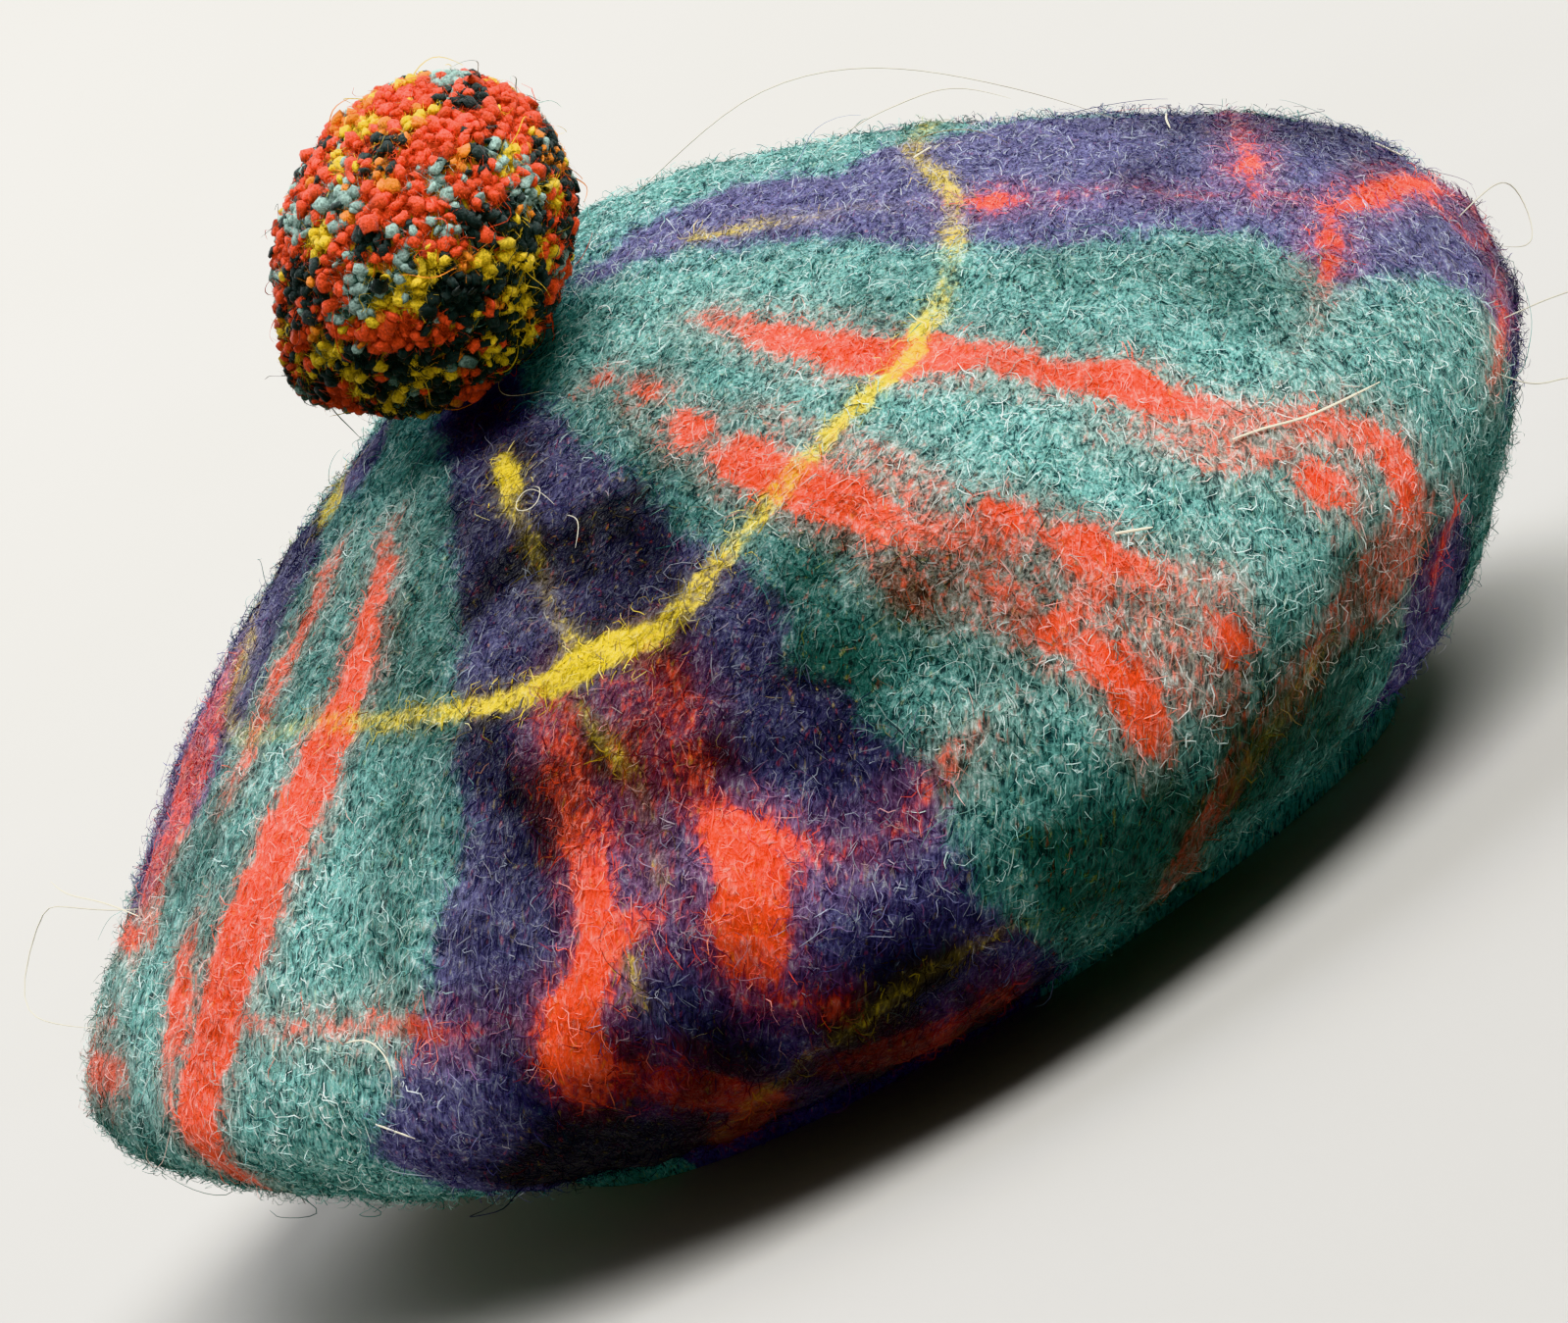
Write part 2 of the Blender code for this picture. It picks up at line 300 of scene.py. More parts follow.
@dataclass(frozen=True)
class Dent:
    """A soft dent in the felt, or a swell where its depth is negative."""

    name: str
    azimuth: float      # degrees from the front towards the wearer's right
    up: float           # up the rings, from the mouth at 0 to the tip at 1
    depth: float        # mm
    half_width: float   # degrees
    half_height: float  # of the way up


RINGS = (
    Ring("mouth",          92,  88,  80,  77, 13,   0,   0,   0,   0),
    Ring("rim",            93,  89,  82,  78, 13,   4,   4,   4,   4),
    Ring("underside",     116, 115, 112, 108, 10,  21,  22,  11,  18),
    Ring("low_crest",     133, 141, 136, 132,  8,  42,  38,  23,  38),
    Ring("crest",         144, 154, 143, 141,  6,  62,  53,  38,  55),
    Ring("shoulder",      139, 144, 139, 137,  5,  86,  71,  58,  75),
    Ring("high_shoulder", 122, 122, 120, 120,  6, 104,  91,  83,  96),
    Ring("slope",          88,  90,  84,  84,  7, 123, 114, 109, 118),
    Ring("near_tip",       46,  48,  45,  45,  8, 141, 136, 133, 139),
    Ring("tip",             0,   0,   0,   0,  6, 151, 151, 151, 151),
)
SEWN_AZIMUTH = 110.0    # where the pompom is sewn on, degrees from the front to the wearer's right
SEWN_UP = 0.91          # and how far up the rings
DENTS = (
    Dent("front_corner_fold",      38, 0.64, 2.5, 14, 0.06),
    Dent("right_front_hollow",     62, 0.42, 3.0, 20, 0.10),
    Dent("right_swell",            92, 0.34, -2.0, 22, 0.10),
    Dent("right_back_fold",       128, 0.55, 2.5, 14, 0.16),
    Dent("back_hollow",           172, 0.60, 2.0, 24, 0.10),
    Dent("back_low_swell",        205, 0.36, -2.0, 26, 0.08),
    Dent("left_fold",             262, 0.58, 2.5, 18, 0.12),
    Dent("left_front_hollow",     300, 0.60, 2.0, 16, 0.08),
    Dent("pompom_seat", SEWN_AZIMUTH, SEWN_UP, 4.5, 40, 0.06),
)


@dataclass
class CapForm:
    """The shape that the felt was blocked to, worked out from the tables of rings and dents."""

    rings: tuple[Ring, ...] = RINGS
    dents: tuple[Dent, ...] = DENTS
    lean: float = 6.0               # mm, how far the tip leans to the wearer's right
    thickness: float = 2.5 * MM
    steps_per_ring: int = 3
    around: int = 64
    middle: np.ndarray = field(init=False)

    def __post_init__(self) -> None:
        """Find the middle of the cap's outline, on the grid of the frame's own solid."""
        self.middle = np.zeros(3)
        rows = self.steps_per_ring * (len(self.rings) - 1) + 1
        points = self.outside(round_angles(self.around), np.linspace(0.0, 1.0, rows))
        low, high = points.min(axis=(0, 1)), points.max(axis=(0, 1))
        self.middle = np.array([low[0] + high[0], low[1] + high[1], 0.0]) / 2.0

    def ring_points(self, ring: Ring, azimuth: np.ndarray) -> np.ndarray:
        """Points of one ring.

        Args:
            ring: The ring of the table.
            azimuth: Angles from the front towards the wearer's right, in radians.

        Returns:
            A point for each angle, in metres.
        """
        ahead, aside = np.cos(azimuth), np.sin(azimuth)
        front, right = ahead >= 0.0, aside >= 0.0
        along, across = np.where(front, ring.front, ring.back), np.where(right, ring.right, ring.left)
        z_along = np.where(front, ring.z_front, ring.z_back)
        z_across = np.where(right, ring.z_right, ring.z_left)
        height = z_along * ahead ** 2 + z_across * aside ** 2
        widest = ring.waist if ring.front == 0 else ring.waist * aside ** 2
        lean = self.lean * (height / self.rings[-1].z_front) ** 2
        return np.stack([-across * aside - lean, widest - along * ahead, height], axis=-1) * MM

    @staticmethod
    def normals(points: np.ndarray) -> np.ndarray:
        """Work out the normals of a grid of points.

        Args:
            points: The grid, with rings up it and angles along them.

        Returns:
            Unit normals that face out of the cap.
        """
        up = np.gradient(points, axis=0)
        around = np.roll(points, -1, axis=1) - np.roll(points, 1, axis=1)
        return unit(np.cross(up, around))

    def outside(self, azimuth: np.ndarray, ups: np.ndarray) -> np.ndarray:
        """The cap's outside as a grid of points.

        Args:
            azimuth: Evenly spaced angles, in radians.
            ups: How far up the rings each row is, from 0 at the mouth to 1 at the tip.

        Returns:
            Points, with rows along the first axis and angles along the second.
        """
        table = np.array([self.ring_points(ring, azimuth) for ring in self.rings])
        over_the_top = np.roll(table[-2], len(azimuth) // 2, axis=0)
        table = np.concatenate([table, over_the_top[None]])
        knots = lengths_along(table)
        places = np.interp(ups * (len(self.rings) - 1), np.arange(len(knots)), knots)
        points = smooth_curve(knots, table, places)
        depth = np.zeros(points.shape[:2])
        for dent in self.dents:
            turn = (np.degrees(azimuth) - dent.azimuth + 180.0) % 360.0 - 180.0
            depth += dent.depth * MM * np.outer(np.exp(-((ups - dent.up) / dent.half_height) ** 2),
                                                np.exp(-(turn / dent.half_width) ** 2))
        depth[[0, -1]] = 0.0        # none at the cut edge and the tip
        return points - depth[..., None] * self.normals(points) - self.middle

    def sewing_point(self) -> Pair:
        """Find where the pompom is sewn on.

        Returns:
            The place, and the felt's normal there.
        """
        rows = 201
        azimuth = math.radians(SEWN_AZIMUTH) + round_angles(self.around)
        points = self.outside(azimuth, np.linspace(0.0, 1.0, rows))
        row = round(SEWN_UP * (rows - 1))
        return points[row, 0], self.normals(points)[row, 0]


# ---- the tartan, charted on the cloth laid flat -----------------------------------------------------
# Places are millimetres from the tip: the first towards the wearer's right, the second to the front.
# The cloth's sett repeats, turned half round the tip, so one chart gives both halves of the cap.

@dataclass(frozen=True)
class Stripe:
    """A stripe of dyed wool.

    Each point of its route is a place on the cloth, the stripe's width there in mm, and the share of
    the fibres there that are of its dye.
    """

    name: str
    dye: Dye
    route: tuple[tuple[float, float, float, float], ...]


@dataclass(frozen=True)
class Field:
    """A field of navy ground on the green, as the corners of its soft outline."""

    name: str
    corners: tuple[tuple[float, float], ...]


@dataclass(frozen=True)
class DyeAndShading:
    """A soft patch where the dyes read clearer, or deeper where the amount is negative: partly the felt's
    own uneven dye, partly painted shade and painted light.
    """

    name: str
    place: tuple[float, float]
    reach: float        # mm
    ground: float       # how much clearer green and navy are
    stripes: float = 0.0    # and red and yellow


STRIPES = tuple(Stripe(name, dye, route) for dye, routes in {
    Dye.YELLOW: {
        "round_line_front": ((-23, 87, 3.0, .5), (0, 76, 3.0, .5), (20, 69, 3.4, .55), (30, 66, 3.6, .6),
            (39, 66, 3.4, .65), (49, 66, 3.4, .75), (57, 65, 2.8, .5), (63, 63, 2.8, .5),
            (69, 61, 3.6, .75), (75, 59, 2.8, .4), (80, 56, 3.0, .4), (84, 53, 4.0, .6), (88, 50, 4.2, .7),
            (90, 48, 4.5, .9)),
        "round_line": ((90, 48, 3.9, .8), (96, 44, 3.6, .95), (101, 35, 3.4, .95), (106, 25, 3.6, .75),
            (110, 19, 3.4, .55), (115, 12, 3.2, .65), (119, 4, 3.6, .7), (124, -6, 4.0, .7),
            (127, -17, 4.4, .85), (124, -24, 6.6, 1), (123, -29, 7.4, 1), (122, -37, 4.2, .95),
            (117, -46, 3.0, .8), (108, -57, 2.9, .8), (98, -67, 2.6, .7), (89, -73, 2.5, .6),
            (82, -78, 2.5, .4)),
        "round_line_back": ((82, -78, 2.5, .4), (57, -95, 3.5, .4), (23, -87, 4.0, .5)),
        "wedge_line": ((65, -22, 2.2, .7), (70, -23, 3.6, 1), (76, -24, 4.0, .9), (83, -25, 3.0, .45),
            (93, -25, 2.4, .3), (106, -28, 2.2, .3), (118, -28, 3.0, .5)),
        "wedge_speck_high": ((130, -33, 2.2, .4), (145, -32, 3.0, .45)),
        "wedge_speck_middle": ((150, -32, 2.4, .3), (163, -37, 2.2, .35)),
        "wedge_speck_low": ((169, -49, 2.6, .7), (172, -50, 3.8, .75), (175, -51, 2.6, .5)),
        "front_line": ((36, 24, 2.4, .7), (39, 30, 2.6, .6), (42, 37, 2.6, .4), (47, 47, 2.6, .25),
            (52, 58, 2.2, .2)),
        "seat_edge": ((12, -56, 5.0, .5), (20, -58, 5.0, .7), (24, -62, 5.0, .7)),
        "back_speck": ((32, -86, 5.0, .5), (45, -90, 4.5, .4)),
        "under_line": ((199, 22, 1.3, .3), (198, 0, 1.5, .45), (199, -14, 1.6, .55), (200, -30, 1.6, .45),
            (202, -50, 1.5, .4), (206, -75, 1.5, .3)),
        "front_dark_line": ((164, 108, 2.6, .3), (176, 94, 3.0, .4), (188, 80, 2.6, .3)),
    },
    Dye.RED: {
        "front_high": ((56, 16, 3.0, .4), (62, 20, 4.0, .65), (69, 24, 5.4, .8), (77, 29, 7.0, .95),
            (85, 33, 7.4, 1), (91, 38, 8.4, 1), (96, 44, 10.4, 1), (101, 50, 8.4, 1), (104, 55, 7.0, .9),
            (109, 61, 6.6, .95), (117, 72, 7.4, 1), (124, 80, 7.4, .95), (127, 87, 6.6, .7),
            (130, 97, 5.6, .65), (129, 107, 5.8, .8), (130, 117, 6.6, .85), (132, 123, 9.4, 1),
            (135, 126, 10.5, 1), (137, 132, 6.6, .7)),
        "front_high_below": ((126, 66, 6, .3), (130, 76, 9.6, .5), (134, 84, 9.6, .6), (134, 95, 8, .5),
            (137, 109, 11, .45)),
        "front_high_above": ((73, 35, 4.5, .3), (81, 41, 4, .3), (92, 51, 4, .25), (103, 60, 4.5, .28),
            (109, 67, 4.2, .28), (114, 75, 4, .25)),
        "front_spot": ((139, 101, 5.4, 1), (141, 105, 6.0, 1)),
        "front_spot_small": ((141, 110, 5.0, .6), (145, 112, 5.5, .5)),
        "front_dark_band": ((137, 134, 12, .5), (143, 130, 17, .6), (150, 122, 15, .52),
            (158, 113, 13, .48), (169, 102, 12, .48), (181, 88, 10, .5), (190, 79, 11, .62),
            (206, 67, 12, .5)),
        "front_low": ((60, 0, 4.0, .9), (66, 3, 1.6, .3), (73, 5, 4.4, 1), (79, 6, 1.4, .25),
            (85, 7, 7.6, 1), (89, 8, 7.6, 1), (94, 10, 3.4, .4), (99, 12, 8.4, .95), (106, 14, 10.0, 1),
            (112, 17, 9.4, .95), (117, 20, 10.0, 1), (123, 24, 9.4, .9), (128, 26, 8.6, .8),
            (133, 30, 8.4, .7), (137, 36, 8.0, .65), (141, 43, 7.0, .7)),
        "front_low_spot": ((135, 44, 5.2, .9), (138, 46, 5.4, 1)),
        "front_low_blot": ((141, 48, 5.0, .7), (145, 52, 6.4, .9), (148, 56, 7.0, 1), (151, 60, 6.2, .9),
            (154, 66, 6.0, .65), (155, 72, 7.4, .5), (157, 78, 8.0, .45)),
        "front_low_fork": ((150, 56, 4.4, .75), (155, 53, 4.8, .75), (157, 48, 4.4, .75),
            (158, 44, 5.6, 1), (157, 39, 4.4, .7)),
        "front_low_left": ((145, 36, 6.0, .6), (150, 39, 7.4, .7), (155, 42, 5.4, .65)),
        "front_low_end": ((160, 46, 4.4, .7), (164, 49, 7.2, 1), (168, 52, 8.6, 1), (172, 54, 9.6, 1),
            (176, 56, 8.0, .9), (180, 59, 4.0, .5)),
        "front_low_far_spot": ((164, 75, 6.3, .95), (166, 78, 6.6, 1)),
        "front_low_above": ((86, 14, 4, .3), (96, 21, 6, .4), (107, 27, 6, .4), (117, 32, 8, .5),
            (127, 37, 8, .5)),
        "front_low_haze": ((150, 50, 14, .45), (158, 58, 20, .5), (164, 68, 20, .5), (171, 76, 15, .45)),
        "front_low_edge": ((136, 23, 6, .35), (145, 26, 7, .4), (152, 30, 5, .3)),
        "front_low_haze_left": ((138, 36, 12, .45), (152, 38, 14, .42), (162, 44, 10, .4)),
        "back_high": ((55, -47, 3.4, .5), (62, -50, 4.6, .7), (70, -54, 5.6, .85), (77, -60, 6.4, .9),
            (85, -66, 7.4, .95), (88, -74, 10.4, 1), (92, -81, 12.6, 1), (94, -90, 14, 1),
            (95, -100, 16, 1), (97, -110, 17, 1), (98, -119, 17, 1), (101, -127, 16, 1),
            (104, -134, 15, 1), (107, -146, 13, .9), (110, -158, 10, .7)),
        "back_fork": ((80, -120, 4.5, .5), (83, -128, 7, .85), (87, -134, 7.6, .9), (91, -140, 7, .7),
            (95, -146, 7, .5)),
        "back_thin": ((45, -57, 3.2, .5), (53, -66, 4.6, .7), (58, -74, 5, .75), (61, -82, 5.4, .7),
            (64, -89, 5.8, .7), (68, -97, 5.8, .6), (69, -104, 5, .45)),
        "back_haze": ((26, -94, 12, .5), (36, -104, 22, .6), (42, -115, 26, .65), (46, -128, 22, .6),
            (48, -140, 14, .45)),
        "back_sprout": ((57, -160, 4, .6), (44, -166, 6, .75), (22, -170, 6, .6)),
        "back_line": ((12, -150, 4.5, .7), (26, -146, 5, .8), (42, -141, 5.5, .8), (59, -133, 5, .6)),
        "back_hem_line": ((36, -167, 6, .8), (56, -162, 7, .8), (72, -155, 6, .6)),
        "wedge_low": ((124, -36, 7.0, .5), (131, -39, 8.0, .62), (136, -41, 8.0, .5), (142, -42, 9.0, .52),
            (147, -44, 8.4, .6), (152, -46, 8.0, .75), (157, -48, 8.4, .9), (161, -50, 8.4, 1),
            (165, -54, 7.4, 1)),
        "wedge_slant": ((167, -37, 2.8, .4), (166, -43, 4.4, .8), (165, -48, 5.4, .95), (166, -54, 7.4, 1),
            (167, -59, 7.6, 1), (169, -64, 11, 1), (172, -67, 13, 1), (176, -71, 9, .7)),
        "wedge_high": ((129, -18, 8, .42), (136, -19, 9, .48), (141, -19, 9, .55), (146, -20, 7.5, .45),
            (152, -22, 7, .5), (157, -24, 7, .6)),
        "wedge_blot": ((158, -22, 3.5, .7), (161, -22.5, 6, .95), (165, -22.5, 9.5, 1), (169, -22, 13, 1),
            (172, -23.5, 13.4, 1), (175, -26.5, 13, 1), (179, -28.5, 11.6, 1), (183, -31, 9, .7),
            (186, -33, 7, .35)),
        "wedge_point": ((170, -17, 7.4, .9), (173, -11, 4.4, .65), (177, -3, 3.4, .4)),
        "wedge_haze": ((133, -26, 10, .36), (147, -30, 13, .36), (156, -36, 12, .3), (163, -40, 8, .3)),
        "under_back": ((178, -66, 7, .6), (186, -60, 9, .7), (194, -54, 12, .75), (204, -50, 12, .8),
            (209, -66, 13, .8), (214, -80, 10, .5)),
        "under_middle": ((188, -30, 5, .5), (195, -22, 6, .55)),
        "under_front": ((206, -32, 6, .5), (211, -20, 10, .7), (215, -6, 11, .75), (214, 10, 12, .6)),
        "wedge_thread": ((176, 2, 1.8, .5), (174, 9, 2, .6), (171, 18, 1.9, .6), (168, 27, 1.8, .45),
            (165, 37, 1.6, .3)),
        "weft_back": ((111, -120, 1.8, .7), (124, -111, 1.8, .75), (137, -99, 1.9, .75),
            (146, -91, 2.6, .8), (153, -85, 2.3, .85), (156, -81, 1.8, .6), (160, -74, 1.8, .4),
            (165, -69, 1.6, .45)),
        "weft_front": ((73, 129, 4.2, .95), (69, 135, 5.2, 1), (64, 140, 5.4, 1), (52, 151, 6.8, 1),
            (47, 156, 5.2, .9), (41, 163, 4, .6), (22, 168, 2.6, .45), (-4, 169, 2.2, .4),
            (-30, 163, 2.6, .5), (-52, 152, 3.4, .5)),
        "weft_front_turn": ((52, 151, 5, .9), (58, 155, 4.2, .7), (61, 160, 4.2, .6), (56, 168, 5, .5)),
        "weft_front_down": ((75, 128, 2.6, .7), (82, 125, 2.8, .95), (92, 121, 2.9, 1),
            (97, 118, 2.6, .75), (103, 115, 2.6, .4), (111, 110, 2.5, .35), (118, 104, 2.2, .3)),
        "weft_high": ((-34, 118, 2.4, .3), (-6, 126, 2.2, .4), (24, 126, 2.0, .5), (44, 122, 2.4, .7),
            (56, 119, 2.4, .95), (64, 117, 2.2, 1), (71, 115, 1.8, .6)),
        "warp_front": ((56, 67, 2.6, .6), (58, 70, 4.4, 1), (60, 74, 3.8, .85), (63, 83, 1.8, .35),
            (65, 96, 1.9, .45), (67, 102, 2.0, .55), (69, 111, 1.7, .4), (69, 120, 2.0, .5),
            (71, 129, 2.0, .5)),
        "front_rim": ((76, 167, 4, .7), (89, 163, 4.5, .75), (101, 159, 4, .65)),
        "front_rim_low": ((128, 150, 4, .6), (136, 152, 4.5, .8), (140, 155, 4, .6)),
        "front_hem_line": ((36, 171, 4, .6), (56, 169, 4, .5), (76, 166, 4, .6)),
    },
}.items() for name, route in routes.items())

FIELDS = (
    Field("front_band", ((25, 2), (23, 10), (24, 22), (25, 36), (29, 50), (27, 62), (16, 78), (12, 110),
                         (12, 150), (20, 190), (50, 196), (88, 180), (84, 158), (87, 146), (91, 136),
                         (96, 127), (98, 120), (88, 118), (82, 110), (81, 98), (82, 86), (77, 69),
                         (62, 52), (48, 37), (39, 23), (30, 5))),
    Field("wedge", ((26, -8), (45, -15), (67, -10), (84, -7), (96, -4), (109, -3), (119, 2), (128, 4),
                    (137, 5), (145, 2), (151, 7), (159, 6), (166, 9), (171, 13), (179, 11), (190, 12),
                    (230, 44), (300, 60), (330, -60), (300, -130), (225, -160), (168, -138), (148, -120),
                    (149, -103), (148, -91), (144, -83), (137, -74), (134, -66), (127, -60), (113, -52),
                    (103, -46), (79, -38), (58, -33), (33, -34))),
    Field("back_block", ((4, -60), (34, -64), (46, -74), (53, -86), (58, -98), (58, -110), (50, -124),
                         (40, -136), (20, -142), (4, -142), (-8, -110))),
    Field("front_under", ((132, 148), (150, 138), (172, 150), (170, 178), (140, 196), (118, 178))),
    Field("seat_side", ((8, -40), (24, -44), (30, -54), (22, -60), (6, -54))),
)

# Patches of dye and of painted light and shade. The deep ones at the foot, along the hem and on the front's
# lower faces are painted shade. The clear ones beside the pompom and along the top edge are painted light.
# The others are partly the dye's own unevenness, partly painted light and shade.
DYE_AND_SHADING = (
    DyeAndShading("tip_front", (20, 24), 22, 0.6),
    DyeAndShading("tip_right", (36, -3), 12, 0.4),
    DyeAndShading("front_top_corner", (62, 146), 10, 0.25),
    DyeAndShading("front_hem_black", (200, 20), 9, -0.3),
    DyeAndShading("under_wedge_point", (145, 11), 11, 0.25),
    DyeAndShading("back_low_pale", (138, -120), 10, 0.3),
    DyeAndShading("weft_crossing", (99, 35), 9, 0.3),
    DyeAndShading("weft_high_haze", (54, 67), 9, 0.3, 0.2),
    DyeAndShading("front_low_haze", (116, 63), 8, 0.25, 0.15),
    DyeAndShading("front_far_haze", (136, 105), 13, 0.25, 0.2),
    DyeAndShading("front_far_edge", (120, 126), 10, 0.25),
    DyeAndShading("wedge_far_right", (187, 0), 9, 0.2),
    DyeAndShading("weft_left_crossing", (125, -33), 8, -0.1, -0.35),
    DyeAndShading("weft_right_crossing", (125, 34), 8, -0.2),
    DyeAndShading("front_low_brown", (186, 72), 9, 0.25),
    DyeAndShading("tip_front_far", (22, 60), 18, 0.4),
    DyeAndShading("seat_front", (46, 1), 17, 0.8),
    DyeAndShading("front_band_near", (38, 76), 20, 0.9),
    DyeAndShading("front_band_high", (52, 108), 28, 0.1),
    DyeAndShading("front_band_edge", (82, 93), 12, 0.3),
    DyeAndShading("front_band_far", (78, 142), 24, 0.6),
    DyeAndShading("above_front_high", (94, 66), 22, 0.22, 0.1),
    DyeAndShading("above_front_far", (97, 86), 14, -0.25),
    DyeAndShading("above_front_end", (112, 126), 18, 0.4),
    DyeAndShading("above_front_near", (64, 42), 15, 0.35),
    DyeAndShading("above_front_start", (69, 19), 10, 0.4, 0.2),
    DyeAndShading("above_front_line", (87, 57), 9, 0.35, 0.2),
    DyeAndShading("above_front_edge", (107, 66), 9, 0.25),
    DyeAndShading("between_near", (88, 22), 17, 0.4),
    DyeAndShading("between_middle", (120, 42), 14, 0.5),
    DyeAndShading("between_far", (132, 62), 14, 0.4),
    DyeAndShading("between_end", (139, 95), 20, 1.0, 0.6),
    DyeAndShading("front_dark_high", (162, 115), 14, -0.95, -0.85),
    DyeAndShading("front_dark", (179, 95), 19, -0.75, -0.85),
    DyeAndShading("front_dark_low", (196, 80), 17, -0.6, -0.5),
    DyeAndShading("haze_far", (157, 69), 13, 0.35, 0.25),
    DyeAndShading("haze_end", (173, 67), 12, 0.5, 0.4),
    DyeAndShading("front_hem", (201, 26), 18, -0.95),
    DyeAndShading("front_hem_far", (206, 62), 19, -0.9, -0.6),
    DyeAndShading("below_low_near", (119, 9), 12, -0.25),
    DyeAndShading("below_low", (137, 14), 14, -0.55),
    DyeAndShading("below_low_edge", (154, 7), 11, -0.4),
    DyeAndShading("between_low", (128, 30), 13, -0.4, -0.3),
    DyeAndShading("low_stripe", (112, 15), 11, -0.2, -0.45),
    DyeAndShading("low_end", (147, 18), 11, -0.2),
    DyeAndShading("low_near_line", (105, 5), 8, -0.2, -0.1),
    DyeAndShading("low_blot", (146, 47), 11, -0.3, -0.3),
    DyeAndShading("low_near_front", (116, 60), 14, 0.3),
    DyeAndShading("band_high_end", (84, 138), 16, 0.5),
    DyeAndShading("below_low_end", (165, 37), 14, 0.2),
    DyeAndShading("seat_green", (54, -46), 17, 0.45),
    DyeAndShading("back_join", (80, -60), 9, -0.4, -0.3),
    DyeAndShading("back_join_high", (81, -48), 9, -0.25),
    DyeAndShading("back_middle", (112, -82), 18, 0.15),
    DyeAndShading("back_stripe", (95, -82), 10, -0.2, -0.3),
    DyeAndShading("back_far", (66, -136), 16, 0.4, 0.2),
    DyeAndShading("back_low", (134, -122), 21, 0.9),
    DyeAndShading("wedge_seat", (52, -27), 16, -0.50),
    DyeAndShading("wedge_top", (88, -18), 24, -0.41),
    DyeAndShading("wedge_top_right", (72, -11), 9, -0.25),
    DyeAndShading("wedge_middle", (112, -20), 24, -0.18),
    DyeAndShading("wedge_back_high", (126, -48), 22, -0.5),
    DyeAndShading("wedge_high", (140, -27), 17, -0.4, -0.32),
    DyeAndShading("wedge_slant", (170, -53), 8, 0.3, 0.3),
    DyeAndShading("wedge_core", (149, -16), 12, -0.35, -0.3),
    DyeAndShading("wedge_low_start", (147, -37), 8, 0.25, 0.3),
    DyeAndShading("wedge_line_right", (129, -14), 8, -0.25, -0.3),
    DyeAndShading("wedge_blob_back", (126, -43), 12, -0.4, -0.4),
    DyeAndShading("wedge_back_low", (154, -64), 13, -0.3),
    DyeAndShading("wedge_low", (170, -38), 14, 0.5, 0.4),
    DyeAndShading("wedge_low_right", (182, -17), 12, 0.4, 0.2),
    DyeAndShading("wedge_right", (156, -2), 13, -0.4),
    DyeAndShading("wedge_right_low", (186, -10), 10, -0.05),
    DyeAndShading("wedge_foot", (206, -40), 26, -1.0, -1.0),
    DyeAndShading("wedge_foot_back", (206, -84), 32, -1.0, -1.0),
    DyeAndShading("wedge_foot_near", (190, -62), 10, -0.5, -0.6),
    DyeAndShading("wedge_foot_front", (214, 0), 24, -1.0, -0.9),
    DyeAndShading("wedge_back", (150, -87), 15, 0.45),
    DyeAndShading("hem_back", (182, -110), 20, -0.6),
)


